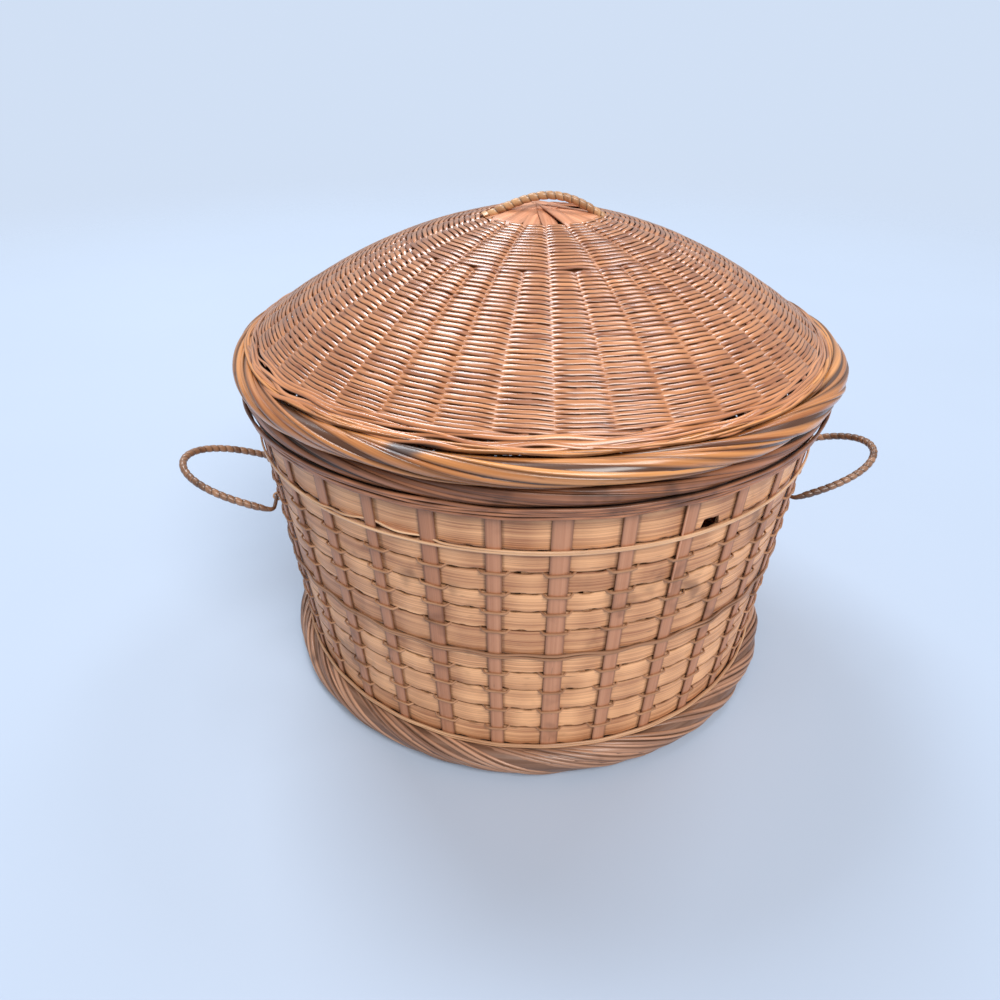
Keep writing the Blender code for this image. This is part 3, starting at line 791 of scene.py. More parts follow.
class BASKET_OT_wall_stakes(BasketOperator, bpy.types.Operator):
    """Stands the upright strips round the wall"""

    bl_idname = "basket.wall_stakes"
    bl_label = "Wall stakes"

    def execute(self, context):
        finish = self.finish(
            "bamboo stake", "stake", fibre=1500.0, run=6.0, roughness=0.48, bump=0.45, grain=0.5
        )
        draw = np.random.default_rng(12)
        height = np.linspace(FOOT_HEIGHT + 0.0004, SEAM_HEIGHTS[-1] - 0.0001, 40)
        thickness = self.sizes.stake_thickness
        widths = {0: 0.0106, STAKE_COUNT - 2: 0.0092, 2: 0.0080, 3: 0.0080}
        tones = {0: 0.75, STAKE_COUNT - 2: 0.12, STAKE_COUNT - 1: 0.6, STAKE_COUNT - 3: 0.3}
        for index in range(STAKE_COUNT):
            azimuth = STAKE_TURN + index * STAKE_PITCH
            width = widths.get(index, 0.0074 * (1 + 0.12 * math.sin(index * index)))
            wide = width * (1 + 0.03 * np.sin(height * draw.uniform(30, 60) + draw.uniform(0, TAU)))
            drift = 0.0003 * np.sin(height * draw.uniform(20, 45) + draw.uniform(0, TAU))
            x = np.array((-1, -0.98, -0.7, -0.35, 0, 0.35, 0.7, 0.98, 1, 1, 0.5, 0, -0.5, -1)) / 2
            crown = -0.0005 * (2 * x[:9]) ** 2
            depth = np.concatenate([crown - (0.0002, 0, 0, 0, 0, 0, 0, 0, 0.0002), np.full(5, -thickness)])
            side = drift[:, None] + wide[:, None] * x
            off = np.broadcast_to(depth, side.shape).copy()
            if index == 0:
                split = np.clip((height - 0.12) / 0.04, 0, 1)[:, None]
                off[:, 6:7] -= 0.0005 * split
            base = polar(wall_radius(height), azimuth, height)[:, None]
            rings = base + side[..., None] * along(azimuth) + off[..., None] * radial(azimuth)
            lay = np.stack(
                [
                    np.broadcast_to(height[:, None] + index, side.shape),
                    np.zeros_like(side),
                    side + 0.11 * index,
                ],
                axis=-1
            )
            tone = tones.get(index, draw.uniform(0.3, 0.8))
            # Painted shade on the stake's two side edges, where it stands off the bands.
            grime = np.where(np.abs(x) > 0.48, 0.6, 0.0)
            pile = Pile()
            pile.add(rings, lay, tone, grime, False)
            if index == 2:
                rows = height[height > 0.138]
                splinter = polar(wall_radius(rows) + 0.0002, azimuth, rows) - (width / 2 + 0.0003) * along(
                    azimuth
                )
                strand(pile, splinter, radial(azimuth), 0.0012, 0.0011, 6, 2.2, False, edge=0)
            pile.make(
                f"stake_{index + 1:02d}", finish, BASKET, "bamboo_stake", f"wall_stake_{index + 1:02d}",
                sharp=35
            )
        return {"FINISHED"}


class BASKET_OT_inner_uprights(BasketOperator, bpy.types.Operator):
    """Stands the thin strips inside the bands, mid-way between the stakes"""

    bl_idname = "basket.inner_uprights"
    bl_label = "Inner uprights"

    def execute(self, context):
        pile = Pile()
        height = np.linspace(FOOT_HEIGHT + 0.0020, SEAM_HEIGHTS[-1] - 0.0005, 24)
        for index in range(STAKE_COUNT):
            aside = 0.035 * (index == 2)
            azimuth = STAKE_TURN + (index + 0.5) * STAKE_PITCH + aside
            path = polar(wall_radius(height) - BAND_SETBACK - BAND_THICKNESS - 0.0002, azimuth, height)
            width = 0.0062 * (1 + 0.15 * math.sin(3 * index * index))
            strand(
                pile, path, radial(azimuth), width, 0.0009, 8, 0.8, False, 0.4, edge=0.2,
                shift=0.17 * index
            )
        finish = self.finish("inner upright bamboo", "pale", roughness=0.5)
        pile.make("inner_uprights", finish, BASKET, "pale_cane")
        return {"FINISHED"}


class BASKET_OT_twining(BasketOperator, bpy.types.Operator):
    """Twines the fine cane rows over the stakes and through the seams"""

    bl_idname = "basket.twining"
    bl_label = "Twined rows"

    def execute(self, context):
        finish = self.finish("twined cane", "twine", fibre=1600.0, run=20.0, roughness=0.42)
        azimuth = ring(STAKE_COUNT * 16) + STAKE_TURN
        phase = (azimuth - STAKE_TURN) * STAKE_COUNT
        width = self.sizes.twine_width
        thickness = self.sizes.twine_thickness
        pair_rise = 0.0009
        pair_depth = 0.0006
        pair_wave = 0.0014
        behind_bands = 0.0022
        second_wave = 0.0014
        for seam in range(1, HOOP_SEAM):
            level = SEAM_HEIGHTS[seam]
            pile = Pile()
            if seam == DOUBLED_SEAM:
                for turn, rise in enumerate((-pair_rise, pair_rise)):
                    over = 0.5 + 0.5 * np.cos(phase)
                    radius = wall_radius(level) - pair_depth + pair_wave * over
                    height = level + rise + 0.0004 * ripple(azimuth, 500 + turn, 3, 16)
                    path = polar(radius, azimuth, height)
                    tone = shade(azimuth, 0.25, 0.2, 510 + turn, 3, 20, 1)
                    strand(pile, path, radial(azimuth), 0.0019, 0.0013, 8, tone, edge=0.6)
            else:
                over = np.clip(0.5 + 0.95 * np.cos(phase), 0, 1)
                over = over * over * (3 - 2 * over)
                inside = wall_radius(level) - BAND_SETBACK - BAND_THICKNESS - behind_bands
                outside = wall_radius(level) + thickness / 2 - 0.0001
                sway = 0.00035 * ripple(azimuth, 520 + seam, 5, 60)
                height = level + 0.0003 - 0.0008 * over + sway
                path = polar(inside + (outside - inside) * over, azimuth, height)
                # The cane is painted darker where it dives back behind the bands: painted shade in the
                # seams.
                tone = shade(azimuth, 0.65, 0.35, 530 + seam, 4, 70) * (0.1 + 0.9 * over)
                strand(pile, path, radial(azimuth), width, thickness, 8, tone, edge=0.3)
                between = np.clip(-np.cos(phase), 0, 1) ** 2
                height = level - 0.0004 + 0.0006 * between + sway
                second = polar(inside + second_wave * between, azimuth, height)
                # The second cane is painted darker where it lies back near the stakes, which is painted
                # shade, and its tone is broken into random dashes.
                dashes = shade(azimuth, 0.6, 1.2, 540 + seam, 60, 130, 1)
                strand(pile, second, radial(azimuth), 0.0013, 0.0011, 6, between * dashes, edge=0.3)
            pile.make(f"twined_row_{seam:02d}", finish, BASKET, "pale_cane")
        return {"FINISHED"}


class BASKET_OT_hoops(BasketOperator, bpy.types.Operator):
    """Lays the pale hoops at the foot and under the rim"""

    bl_idname = "basket.hoops"
    bl_label = "Hoops"

    def execute(self, context):
        finish = self.finish("pale hoop cane", "pale", fibre=1500.0, run=18.0, roughness=0.4, coat=0.2)
        azimuth = ring(544) + STAKE_TURN
        phase = (azimuth - STAKE_TURN) * STAKE_COUNT
        over = 0.5 + 0.5 * np.cos(phase)
        foot = Pile()
        for turn, (rise, out) in enumerate(((0.0008, 0.0009), (0.0024, 0.0008))):
            level = FOOT_HEIGHT + rise + 0.0003 * ripple(azimuth, 600 + turn, 4, 20)
            path = polar(wall_radius(level) + out + 0.0003 * over, azimuth, level)
            tone = shade(azimuth, 0.1, 0.3, 610 + turn, 3, 20, 1)
            strand(foot, path, radial(azimuth), 0.0018, 0.0016, 8, tone, edge=0.5)
        foot.make("foot_hoop_canes", finish, BASKET, "pale_cane", "foot_hoop")
        upper = Pile()
        level = SEAM_HEIGHTS[HOOP_SEAM]
        turned = degrees_from_front(azimuth)
        left = mound(turned, -36, 18)
        lower = level - 0.0004 - 0.0010 * left + 0.0004 * ripple(azimuth, 620, 2, 5)
        path = polar(wall_radius(lower) + 0.0008, azimuth, lower)
        tone = shade(azimuth, 0.85, 0.2, 621, 3, 20)
        strand(upper, path, radial(azimuth), 0.0018, 0.0014, 8, tone, edge=0.3)
        behind = np.clip((turned + 40) / 5, 0, 1) * np.clip((-16 - turned) / 3, 0, 1) * over
        higher = lower + 0.0012 + 0.0030 * mound(turned, -28, 9)
        higher = higher + 0.0002 * ripple(azimuth, 622, 2, 7)
        path = polar(wall_radius(higher) + 0.0008 - 0.0026 * behind, azimuth, higher)
        tone = shade(azimuth, 0.9, 0.35, 623, 3, 20, 1.3)
        strand(upper, path, radial(azimuth), 0.0013, 0.0011, 8, tone, edge=0.3)
        upper.make("upper_hoop_canes", finish, BASKET, "pale_cane", "upper_hoop")
        return {"FINISHED"}


class BASKET_OT_rim_border(BasketOperator, bpy.types.Operator):
    """Twists the dark border of the rim over its fine strands"""

    bl_idname = "basket.rim_border"
    bl_label = "Rim border"

    def execute(self, context):
        pile = Pile()
        azimuth = ring(300)
        centre = (0.1885, 0.2160)
        half = (0.0060, 0.0061)
        shares = ((1.0, 0.6), (0.8, 0.5), (1.0,), (0.6, 0.8), (0.9, 0.5), (0.7, 0.7))
        groups = [[self.sizes.rim_border_strand * share for share in group] for group in shares]
        rope(
            pile, azimuth, centre, half, groups, turns=4, thickness=0.0022, seed=401, sway=0.3,
            bulge=0.0014, gap=1.0, edge=0.7
        )
        core(pile, azimuth, centre, shrunk(half, 0.0016))
        # A second, smaller dark ring among the fine strands under the cords: painted shade in the gap
        # there.
        core(pile, azimuth, (0.1877, 0.2070), (0.0030, 0.0028), 8)
        fine_width = 0.0020
        fine_thickness = 0.0018
        for side, base in ((1, 0.1922), (-1, 0.1840)):
            for row, level in enumerate((0.2053, 0.2073, 0.2093, 0.2111)):
                sway = ripple(azimuth, 410 + 10 * row + side, 3, 26)
                path = polar(base + 0.0003 * sway + side * 0.0006 * row, azimuth, level + 0.0007 * sway)
                tone = shade(azimuth, 0.95 - 0.2 * row, 0.45, 440 + row, 5, 60, 1.3)
                facing = polar(side, azimuth, 0)
                strand(pile, path, facing, fine_width, fine_thickness, 8, tone, edge=0.7, shift=0.3 * row)
        finish = self.finish("rim border cane", "rim", coat=0.25, grain=0.5)
        pile.make("rim_border_strands", finish, BASKET, "foot_cane", "rim_border")
        return {"FINISHED"}


def wound(pile, path, normal, turns, radius, depth, cover, seed, closed, sides=12):
    """A strip wound round a core.

    The radius at a station and an angle is the core's, plus the wrap's depth times the crown
    of the winding's phase, which grows along the path and falls once round it. Cover brings
    the wrap from nothing to its full depth, and each turn has a tone of its own.
    """
    count = len(path)
    across, off = carried(path, normal, closed)
    share = np.arange(sides) / sides
    phase = turns * np.arange(count)[:, None] / count - share
    crown = np.abs(2 * (phase % 1) - 1) ** 3
    rise = cover[:, None] * (depth * (1 - 0.4 * crown) + 0.0002 * (phase % 1))
    reach = radius + rise
    angle = TAU * share
    direction = np.cos(angle)[:, None] * off[:, None] + np.sin(angle)[:, None] * across[:, None]
    rings = path[:, None] + reach[..., None] * direction
    shades = np.random.default_rng(seed).uniform(0.1, 1.0, int(turns) + 3)
    turn = np.clip(np.floor(phase).astype(int) + 1, 0, len(shades) - 1)
    tone = shades[turn] * cover[:, None] + 0.1 * (1 - cover[:, None])
    around = np.broadcast_to(0.004 * angle, phase.shape)
    lay = np.stack([around, np.floor(phase) * 0.01, (phase % 1) * 0.0045], axis=-1)
    # Painted shade in the grooves between the turns of the wrap.
    grime = cover[:, None] * np.clip((crown - 0.4) / 0.6, 0, 1)
    pile.add(rings, lay, tone, grime, closed)


def handle_place(stake):
    """Middle of a side handle's bar, with its directions along the wall and outwards."""
    azimuth = STAKE_TURN + stake * STAKE_PITCH
    level = SEAM_HEIGHTS[HANDLE_SEAM]
    centre = polar(wall_radius(level) + HANDLE_STANDOFF + CLEARANCE + HANDLE_CORE_RADIUS, azimuth, level)
    return centre, along(azimuth), polar(1.0, azimuth, 0.0)


class BASKET_OT_side_handles(BasketOperator, bpy.types.Operator):
    """Winds the two side handles"""

    bl_idname = "basket.side_handles"
    bl_label = "Side handles"

    def execute(self, context):
        finish = self.finish(
            "handle wrap", "ear", fibre=900.0, run=60.0, roughness=0.36, coat=0.35, grain=0.45,
            stains=(0.5, 0.62)
        )
        half = 0.0360
        corner = 0.0050
        reach = 0.0670
        wrapped_length = 0.205
        wrap_depth = 0.0012
        bare_end = 0.002
        cover_run = 0.012
        rise = math.radians(22)
        arc = np.linspace(-math.pi / 2, 0, 8)
        loop = np.linspace(0, math.pi, 122)[1:-1]
        right = np.stack([half - corner + corner * np.cos(arc), corner * (1 + np.sin(arc))], axis=1)
        bow = np.stack([half * np.cos(loop), corner + (reach - corner) * np.sin(loop) ** 0.8], axis=1)
        left = right[::-1] * (-1, 1)
        outline = np.concatenate([right, bow, left])
        for name, stake in HANDLE_STAKES.items():
            centre, side, out = handle_place(stake)
            outward = math.cos(rise) * out + math.sin(rise) * UP
            path = centre + outline[:, :1] * side + outline[:, 1:] * outward
            turns = round(wrapped_length / self.sizes.handle_wrap)
            path, length = even(path, turns * WRAP_STATIONS, True)
            run = length * np.arange(len(path)) / len(path)
            wrapped = length - 2 * (half - corner)
            cover = np.clip(np.minimum(run - bare_end, wrapped - run - bare_end) / cover_run, 0, 1)
            pile = Pile()
            facing = np.cross(side, outward)
            wound(pile, path, facing, turns, HANDLE_CORE_RADIUS, wrap_depth, cover, 31 + stake, True)
            pile.make(f"{name}_wound", finish, name, "handle_wrap", name)
        return {"FINISHED"}


class BASKET_OT_bindings(BasketOperator, bpy.types.Operator):
    """Ties the side handles' bars to the wall"""

    bl_idname = "basket.bindings"
    bl_label = "Handle bindings"

    def execute(self, context):
        finish = self.finish("binding cane", "pale", fibre=1500.0, run=30.0)
        cane = 0.0014
        spread = 0.0013
        tail = 0.0040
        turn_radius = HANDLE_CORE_RADIUS + CLEARANCE + cane / 2
        level = SEAM_HEIGHTS[HANDLE_SEAM]
        ear = math.sin(STAKE_PITCH / 2) * wall_radius(level)
        for name, stake in HANDLE_STAKES.items():
            centre, side, out = handle_place(stake)
            bar = float(np.hypot(centre[0], centre[1]))
            inner = wall_radius(level) - BAND_SETBACK - BAND_THICKNESS - 0.0006 - cane / 2
            inside = math.sqrt(inner ** 2 - ear ** 2) - bar
            outside = wall_radius(level) - BAND_SETBACK + cane - bar
            corners = [(-ear - spread - tail, inside - 0.0003, 0), (-ear - spread - cane, inside, 0)]
            for sign in (-1, 1):
                middle = sign * ear
                corners.append((middle - spread, (inside + outside) / 2, 0))
                for share in np.linspace(0, 1, 9):
                    angle = math.radians(130) * (1 - 2 * share)
                    corners.append(
                        (
                            middle + spread * (2 * share - 1),
                            turn_radius * math.cos(angle),
                            turn_radius * math.sin(angle),
                        )
                    )
                corners.append((middle + spread, (inside + outside) / 2, 0))
                if sign < 0:
                    corners += [
                        (middle + spread + tail, inside, 0), (-middle - spread - tail, inside, 0),
                        (-middle - spread, inside, 0)
                    ]
            corners.append((ear + spread + tail, inside - 0.0003, 0))
            corners = np.array(corners)
            path = centre + corners[:, :1] * side + corners[:, 1:2] * out + corners[:, 2:] * UP
            facing = unit(out + 0.3 * side + (0, 0, 0.2))
            pile = Pile()
            strand(pile, eased(path, 5), facing, cane, cane, 10, 0.7, False, 1.0, edge=0)
            pile.make(f"{name}_tie", finish, BASKET, "pale_cane", f"{name}_binding")
        return {"FINISHED"}


class BASKET_OT_hinge_rings(BasketOperator, bpy.types.Operator):
    """Bends the two cane rings that the lid turns on"""

    bl_idname = "basket.hinge_rings"
    bl_label = "Hinge rings"

    def execute(self, context):
        finish = self.finish("hinge cane", "pale", fibre=1500.0, run=30.0)
        angle = ring(120)
        spread = 0.038
        radius = 0.0090
        twist_radius = 0.0005
        twist_turns = 9
        cane = 0.0013
        for name, offset in (("left_hinge_ring", -spread), ("right_hinge_ring", spread)):
            centre = HINGE_AXIS + (offset, 0, 0)
            spoke = np.stack([0 * angle, np.cos(angle), np.sin(angle)], axis=1)
            pile = Pile()
            for turn in range(2):
                lay = twist_turns * angle + math.pi * turn
                beside = (twist_radius * np.sin(lay))[:, None] * np.array((1, 0, 0))
                path = centre + (radius + twist_radius * np.cos(lay))[:, None] * spoke + beside
                tone = 0.5 + 0.3 * turn
                strand(pile, path, spoke, cane, cane, 8, tone, True, 1.0, edge=0, shift=0.2 * turn)
            pile.make(f"{name}_canes", finish, BASKET, "pale_cane", name)
        return {"FINISHED"}


class BASKET_OT_lid_border(BasketOperator, bpy.types.Operator):
    """Twists the glossy amber border of the lid"""

    bl_idname = "basket.lid_border"
    bl_label = "Lid border"

    def execute(self, context):
        pile = Pile()
        azimuth = ring(360)
        left = mound((azimuth + math.pi / 2 + math.pi) % TAU - math.pi, 0, 0.7)
        centre = (0.1915 - 0.0022 * left, 0.2303)
        half = (0.0085, 0.0079)
        shares = ((1.0, 0.7), (0.9, 0.8), (0.5, 1.0), (0.8, 0.5, 0.4), (1.0, 0.7))
        groups = [[self.sizes.lid_border_strand * share for share in group] for group in shares]
        rope(
            pile, azimuth, centre, half, groups, turns=4, thickness=0.0030, seed=201, sway=0.35,
            bulge=0.0030, gap=1.5, loose=0.16 * left
        )
        core(pile, azimuth, centre, shrunk(half, 0.0021))
        places = ((0.1844, 0.2388), (0.1858, 0.2386), (0.1872, 0.2382))
        fine_strands(pile, azimuth, places, width=0.0021, thickness=0.0019, seed=260, sway=0.0008, tone=0.6)
        burn = ((-0.0640, -0.1790, 0.2370), (0.0190, 0.0085, 0.0060))
        settings = {
            "fibre": 800.0, "run": 10.0, "roughness": 0.3, "coat": 0.7, "grain": 0.5, "stains": (0.6, 0.8)
        }
        finish = self.finish("lid border cane", "border", burn=burn, **settings)
        pile.make("lid_border_strands", finish, LID, "border_cane", "lid_border")
        return {"FINISHED"}


class BASKET_OT_lid_weave(BasketOperator, bpy.types.Operator):
    """Twines the rows of the domed lid"""

    bl_idname = "basket.lid_weave"
    bl_label = "Lid weave"

    def row(self, pile, distance, number, draw, ribs, scale, aside):
        """One twined pair of strands.

        Each strand goes before a rib and behind the next one. Its depth is a squared-off
        cosine of half the ribs' count times the azimuth, and where it changes sides it passes
        the other strand down the slope, by the sine of the same angle. Over an odd count of
        ribs the pair is one strand that goes round twice.
        """
        rounds = 1 if ribs % 2 == 0 else 2
        azimuth = rounds * ring(ribs * 9 * (RIB_COUNT // ribs) * rounds)
        phase = (azimuth - CROSSING_TURN + math.pi / ribs) * ribs / 2
        gap = mound(degrees_from_front(azimuth), 10, 4)
        wander = 0.00020 * ripple(azimuth, 1000 + number, 3, 24) + aside * gap
        thickness = self.sizes.lid_strand_thickness
        squareness = 1.9
        middle_depth = 0.00170
        swing_depth = 0.00105
        slip_reach = 0.00075
        dark_share = 0.15
        for turn in range(2 // rounds):
            swing = np.cos(phase + math.pi * turn)
            front = np.tanh(squareness * swing) / math.tanh(squareness)
            slip = slip_reach * np.sin(phase + math.pi * turn) ** 3
            depth = middle_depth - swing_depth * front
            path, normal = crown_path(azimuth, distance + wander + slip * scale, depth)
            light = draw.uniform() > dark_share and not aside
            base = draw.uniform(0.45, 1.0) if light else draw.uniform(0.0, 0.3)
            scorch = np.clip(ripple(azimuth, 5000 + 3 * number + turn, 12, 70) - 1.1, 0, 1)
            wave = ripple(azimuth, 2000 + 3 * number + turn, 2, 26)
            tone = np.clip(base + 0.22 * wave - 1.2 * scorch, 0, 1.1)
            waist = 1 - 0.12 * np.abs(np.sin(phase)) ** 6
            width = scale * self.sizes.lid_strand_width * draw.uniform(0.92, 1.08) * waist
            thick = thickness * draw.uniform(0.9, 1.1)
            strand(
                pile, path, normal, width, thick, 8, tone, square=0.5, edge=0.85,
                shift=0.07 * number + 0.5 * turn
            )

    def execute(self, context):
        draw = np.random.default_rng(77)
        finish = self.finish(
            "lid cane", "weave", fibre=1300.0, run=22.0, roughness=0.3, coat=1.0, grain=0.45,
            stains=(0.62, 0.8)
        )
        whole = crown_length()
        zones = (
            ("upper", 0.0, 0.31, RIB_COUNT // 2, 1.0),
            ("middle", 0.31, 0.6, RIB_COUNT, 1.0),
            ("lower", 0.6, 0.86, RIB_COUNT, 1.0),
            ("outer", 0.86, 0.95, RIB_COUNT, 0.78),
        )
        gap_reach = 0.0008
        number = 0
        for title, first, last, ribs, scale in zones:
            pile = Pile()
            pitch = self.sizes.lid_row_pitch * scale
            rows = round((last - first) * whole / pitch)
            for index in range(rows):
                side = (title == "middle" and index == 0) - (title == "upper" and index == rows - 1)
                aside = gap_reach * side
                place = first * whole + (index + 0.5) * (last - first) * whole / rows
                self.row(pile, place, number, draw, ribs, scale, aside)
                number += 1
            pile.make(f"lid_weave_{title}", finish, LID, "lid_cane", "lid_weave")
        pile = Pile()
        azimuth = ring(300)
        edge_count = 6
        edge_pitch = 0.0018
        edge_width = 0.0024
        edge_thickness = 0.0018
        for number in range(edge_count):
            distance = 0.955 * whole + edge_pitch * number + 0.0009 * ripple(azimuth, 3000 + number, 3, 30)
            depth = 0.0010 - 0.0006 * ripple(azimuth, 3100 + number, 3, 24)
            path, normal = crown_path(azimuth, distance, depth)
            tone = shade(azimuth, 0.65, 0.4, 3200 + number, 2, 20)
            wide = edge_width * (1 + 0.25 * ripple(azimuth, 3300 + number, 2, 12))
            strand(pile, path, normal, wide, edge_thickness, 8, tone, edge=1.0, shift=0.3 * number)
        pile.make("lid_edge_strands", finish, LID, "lid_cane", "lid_weave")
        return {"FINISHED"}


class BASKET_OT_lid_ribs(BasketOperator, bpy.types.Operator):
    """Lays the lid's flat ribs, which cross in the cap"""

    bl_idname = "basket.lid_ribs"
    bl_label = "Lid ribs"

    def execute(self, context):
        finish = self.finish(
            "lid rib bamboo", "rib", fibre=1100.0, run=12.0, roughness=0.4, coat=0.2, grain=0.5
        )
        pile = Pile()
        reach = 0.1810
        cap_radius = 0.0400
        past_centre = 0.0110
        insert_radius = 0.0800
        woven_depth = 0.0018
        rib_width = 0.0050
        leaf_growth = 0.0052
        rib_thickness = 0.0008
        order = np.random.default_rng(5).permutation(RIB_COUNT)
        for index in range(RIB_COUNT):
            azimuth = RIB_TURN + TAU * index / RIB_COUNT
            leaf = index % 2 == 1
            first = np.linspace(-past_centre, cap_radius, 30) if leaf else np.array([insert_radius])
            run = np.concatenate([first, np.linspace(first[-1] + 0.002, reach, 24)])
            radius = np.sqrt(run ** 2 + 0.0020 ** 2)
            layer = order[index] / RIB_COUNT
            inner = np.clip((cap_radius - radius) / 0.0060, 0, 1)
            inner = inner * inner * (3 - 2 * inner)
            depth = woven_depth * (1 - inner) + inner * (0.0002 + 0.0013 * layer)
            height = crown_height(radius) - depth
            path = lean(np.stack([run * math.sin(azimuth), -run * math.cos(azimuth), height], axis=1))
            width = rib_width + leaf_growth * inner * np.clip((run + 0.014) / 0.024, 0.3, 1)
            # Beyond the cap the ribs lie under the weave and are painted nearly dark: painted shade in the
            # gaps between the rows.
            tone = np.where(radius < cap_radius, 0.25 + 0.75 * ((order[index] * 5) % 7) / 6, 0.1)
            tilt = 0.13 * (1 if order[index] % 3 else -1)
            strand(
                pile, path, (0, 0, 1), width, rib_thickness, 10, tone, False, 0.35, tilt=tilt, edge=0.5,
                shift=0.19 * index
            )
        pile.make("lid_rib_strips", finish, LID, "bamboo_stake", "lid_ribs", sharp=35)
        return {"FINISHED"}


class BASKET_OT_lid_handle(BasketOperator, bpy.types.Operator):
    """Winds the low arch over the cap"""

    bl_idname = "basket.lid_handle"
    bl_label = "Lid handle"

    def execute(self, context):
        finish = self.finish(
            "lid handle wrap", "wrap", fibre=900.0, run=60.0, roughness=0.36, coat=0.3, grain=0.4,
            stains=(0.58, 0.7)
        )
        turns = 15
        half_span = 0.0362
        arch_height = 0.0084
        wrap_depth = 0.0011
        strip_reach = 0.0060
        strip_width = 0.0032
        strip_thickness = 0.0008
        share = np.linspace(-1, 1, 81)
        peak = share - 0.12 * (1 - share ** 2)
        x = half_span * share + 0.0010
        arch = arch_height * np.cos(math.pi / 2 * peak) ** 0.9
        height = crown_height(np.hypot(x, LID_HANDLE_FORWARD)) - 0.0010 + arch
        path = np.stack([x, 0 * x - LID_HANDLE_FORWARD, height], axis=1)
        path, length = even(path, turns * WRAP_STATIONS, False)
        pile = Pile()
        cover = np.ones(len(path))
        wound(pile, lean(path), (0, 1, 0), turns, HANDLE_CORE_RADIUS, wrap_depth, cover, 8, False)
        run = np.linspace(-strip_reach, strip_reach, 9)
        strip = np.stack([-half_span - 0.25 * run, -LID_HANDLE_FORWARD + 0.6 * run, 0 * run], axis=1)
        sag = 0.0010 * (run / strip_reach) ** 2
        strip[:, 2] = crown_height(np.hypot(strip[:, 0], strip[:, 1])) + 0.0016 - sag
        facing = (-0.3, -0.3, 1)
        strand(pile, lean(strip), facing, strip_width, strip_thickness, 8, 1.5, False, 0.4, edge=0.2)
        pile.make("lid_handle_wound", finish, LID, "handle_wrap", "lid_handle")
        return {"FINISHED"}


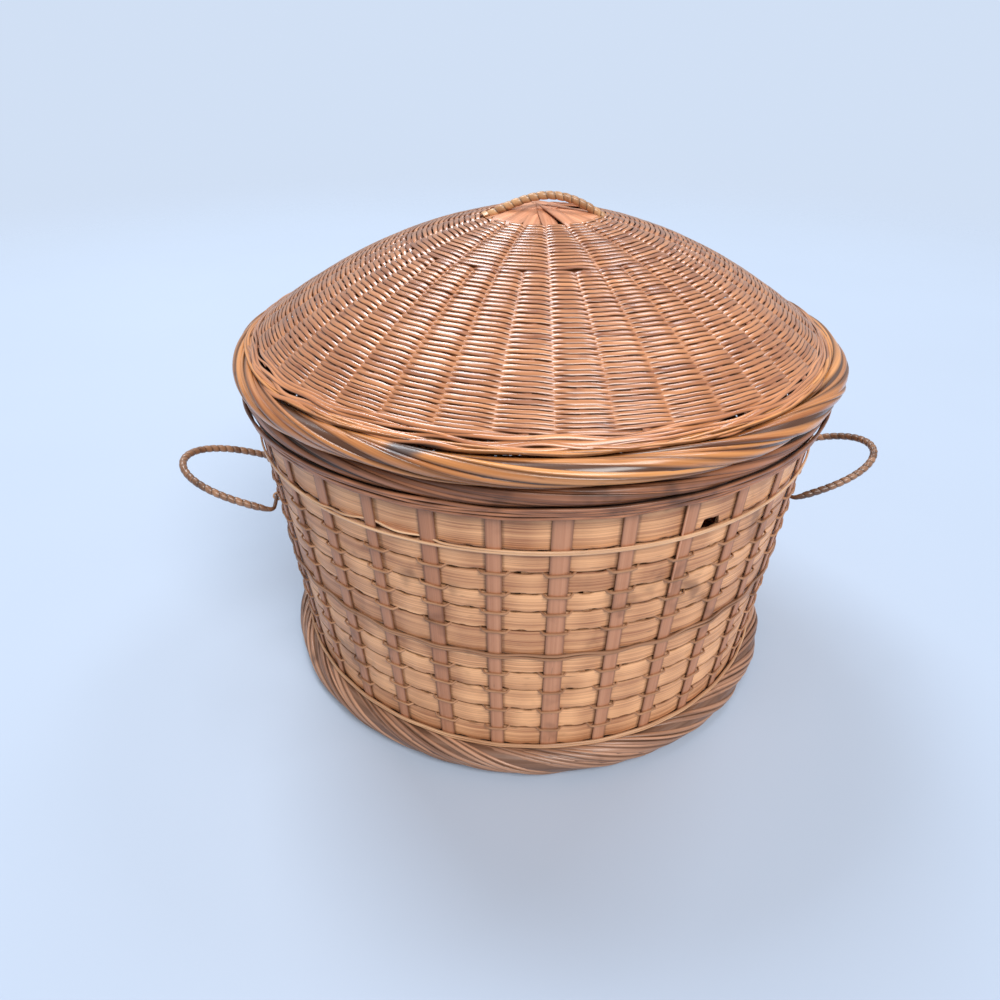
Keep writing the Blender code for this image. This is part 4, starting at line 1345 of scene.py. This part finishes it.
class BASKET_OT_stage(BasketOperator, bpy.types.Operator):
    """Sets the table top, the soft light and the camera"""

    bl_idname = "basket.stage"
    bl_label = "Stage"

    def floor(self):
        """A wide level sheet that fades into the backdrop far behind the basket."""
        mesh = bpy.data.meshes.new("table_top")
        reach = 4.0
        corners = [(-reach, -reach, 0), (reach, -reach, 0), (reach, reach, 0), (-reach, reach, 0)]
        mesh.from_pydata(corners, [], [(0, 1, 2, 3)])
        finish = Finish("table top")
        clouds = finish.noise(finish.object_place(), 3.0, 2.0, 0.5)
        colour = tuple(self.colours.floor)
        tint = finish.mix(
            finish.ramp(clouds, 0.3, 0.7), solid(colour), solid([part * 0.985 for part in colour])
        )
        finish.feed(finish.shader.inputs["Base Color"], tint)
        away = finish.node("ShaderNodeVectorMath", {"operation": "LENGTH"}, {0: finish.object_place()})
        finish.feed(finish.shader.inputs["Alpha"], finish.ramp(away.outputs["Value"], 0.9, 2.4, 1.0, 0.0))
        finish.shader.inputs["Roughness"].default_value = 0.55
        mesh.materials.append(finish.material)
        sheet = bpy.data.objects.new("table_top", mesh)
        bpy.context.scene.collection.objects.link(sheet)

    def lamp(self, name, place, target, size, power, colour):
        """A square soft lamp that looks at a point."""
        data = bpy.data.lights.new(name, "AREA")
        data.size = size
        data.energy = power
        data.color = colour
        item = bpy.data.objects.new(name, data)
        item.location = place
        item.rotation_euler = (Vector(target) - Vector(place)).to_track_quat("-Z", "Y").to_euler()
        bpy.context.scene.collection.objects.link(item)

    def execute(self, context):
        scene = context.scene
        self.floor()
        world = bpy.data.worlds.new("soft room")
        world.use_nodes = True
        tree = world.node_tree
        background = tree.nodes["Background"]
        background.inputs["Color"].default_value = (0.93, 0.96, 1.0, 1)
        background.inputs["Strength"].default_value = 0.40
        backdrop = tree.nodes.new("ShaderNodeBackground")
        backdrop.inputs["Color"].default_value = (0.64, 0.745, 0.91, 1)
        backdrop.inputs["Strength"].default_value = 1.0
        seen = tree.nodes.new("ShaderNodeLightPath")
        blend = tree.nodes.new("ShaderNodeMixShader")
        tree.links.new(seen.outputs["Is Camera Ray"], blend.inputs["Fac"])
        tree.links.new(background.outputs[0], blend.inputs[1])
        tree.links.new(backdrop.outputs[0], blend.inputs[2])
        tree.links.new(blend.outputs[0], tree.nodes["World Output"].inputs["Surface"])
        scene.world = world
        self.lamp("window", (-1.15, 1.98, 4.00), (-0.05, -0.10, 0.25), 1.7, 104.0, (0.86, 0.93, 1.0))
        self.lamp("side window", (1.80, 1.85, 3.80), (0.05, -0.10, 0.25), 1.2, 36.0, (0.82, 0.91, 1.0))
        sun = bpy.data.lights.new("day light", "SUN")
        sun.energy = 2.6
        sun.angle = math.radians(35)
        sun.color = (1.0, 0.97, 0.94)
        item = bpy.data.objects.new("day light", sun)
        item.rotation_euler = Vector((-0.35, 0.75, -1.0)).to_track_quat("-Z", "Y").to_euler()
        scene.collection.objects.link(item)
        data = bpy.data.cameras.new("camera")
        data.sensor_width = 36.0
        data.lens = 26.0
        camera = bpy.data.objects.new("camera", data)
        place = Vector((-0.0230, -0.4786, 0.3986))
        target = Vector((-0.0230, -0.0116, 0.1011))
        camera.location = place
        camera.rotation_euler = (target - place).to_track_quat("-Z", "Y").to_euler()
        scene.collection.objects.link(camera)
        scene.camera = camera
        scene.view_settings.view_transform = "Standard"
        return {"FINISHED"}


PIECES = (
    BASKET_OT_foot_border,
    BASKET_OT_floor_mat,
    BASKET_OT_wall_bands,
    BASKET_OT_wall_stakes,
    BASKET_OT_inner_uprights,
    BASKET_OT_twining,
    BASKET_OT_hoops,
    BASKET_OT_rim_border,
    BASKET_OT_side_handles,
    BASKET_OT_bindings,
    BASKET_OT_hinge_rings,
    BASKET_OT_lid_border,
    BASKET_OT_lid_weave,
    BASKET_OT_lid_ribs,
    BASKET_OT_lid_handle,
    BASKET_OT_stage,
)


class BASKET_PT_panel(bpy.types.Panel):
    """Lists the basket's pieces in the sidebar"""

    bl_idname = "BASKET_PT_panel"
    bl_label = "Basket"
    bl_space_type = "VIEW_3D"
    bl_region_type = "UI"
    bl_category = "Basket"

    def draw(self, context):
        column = self.layout.column()
        for piece in PIECES:
            column.operator(piece.bl_idname)
        for group in (context.scene.basket_sizes, context.scene.basket_colours):
            for title in group.bl_rna.properties.keys():
                if title not in ("rna_type", "name"):
                    column.prop(group, title)


CLASSES = (BasketSizes, BasketColours, *PIECES, BASKET_PT_panel)


def register():
    """Registers the classes and hangs the settings on the scene."""
    for item in CLASSES:
        bpy.utils.register_class(item)
    bpy.types.Scene.basket_sizes = bpy.props.PointerProperty(type=BasketSizes)
    bpy.types.Scene.basket_colours = bpy.props.PointerProperty(type=BasketColours)


def unregister():
    """Takes the settings and the classes away again."""
    del bpy.types.Scene.basket_colours
    del bpy.types.Scene.basket_sizes
    for item in reversed(CLASSES):
        bpy.utils.unregister_class(item)


def main():
    """Registers the add-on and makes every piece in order."""
    register()
    for piece in PIECES:
        group, title = piece.bl_idname.split(".")
        getattr(getattr(bpy.ops, group), title)()


if __name__ == "__main__":
    main()
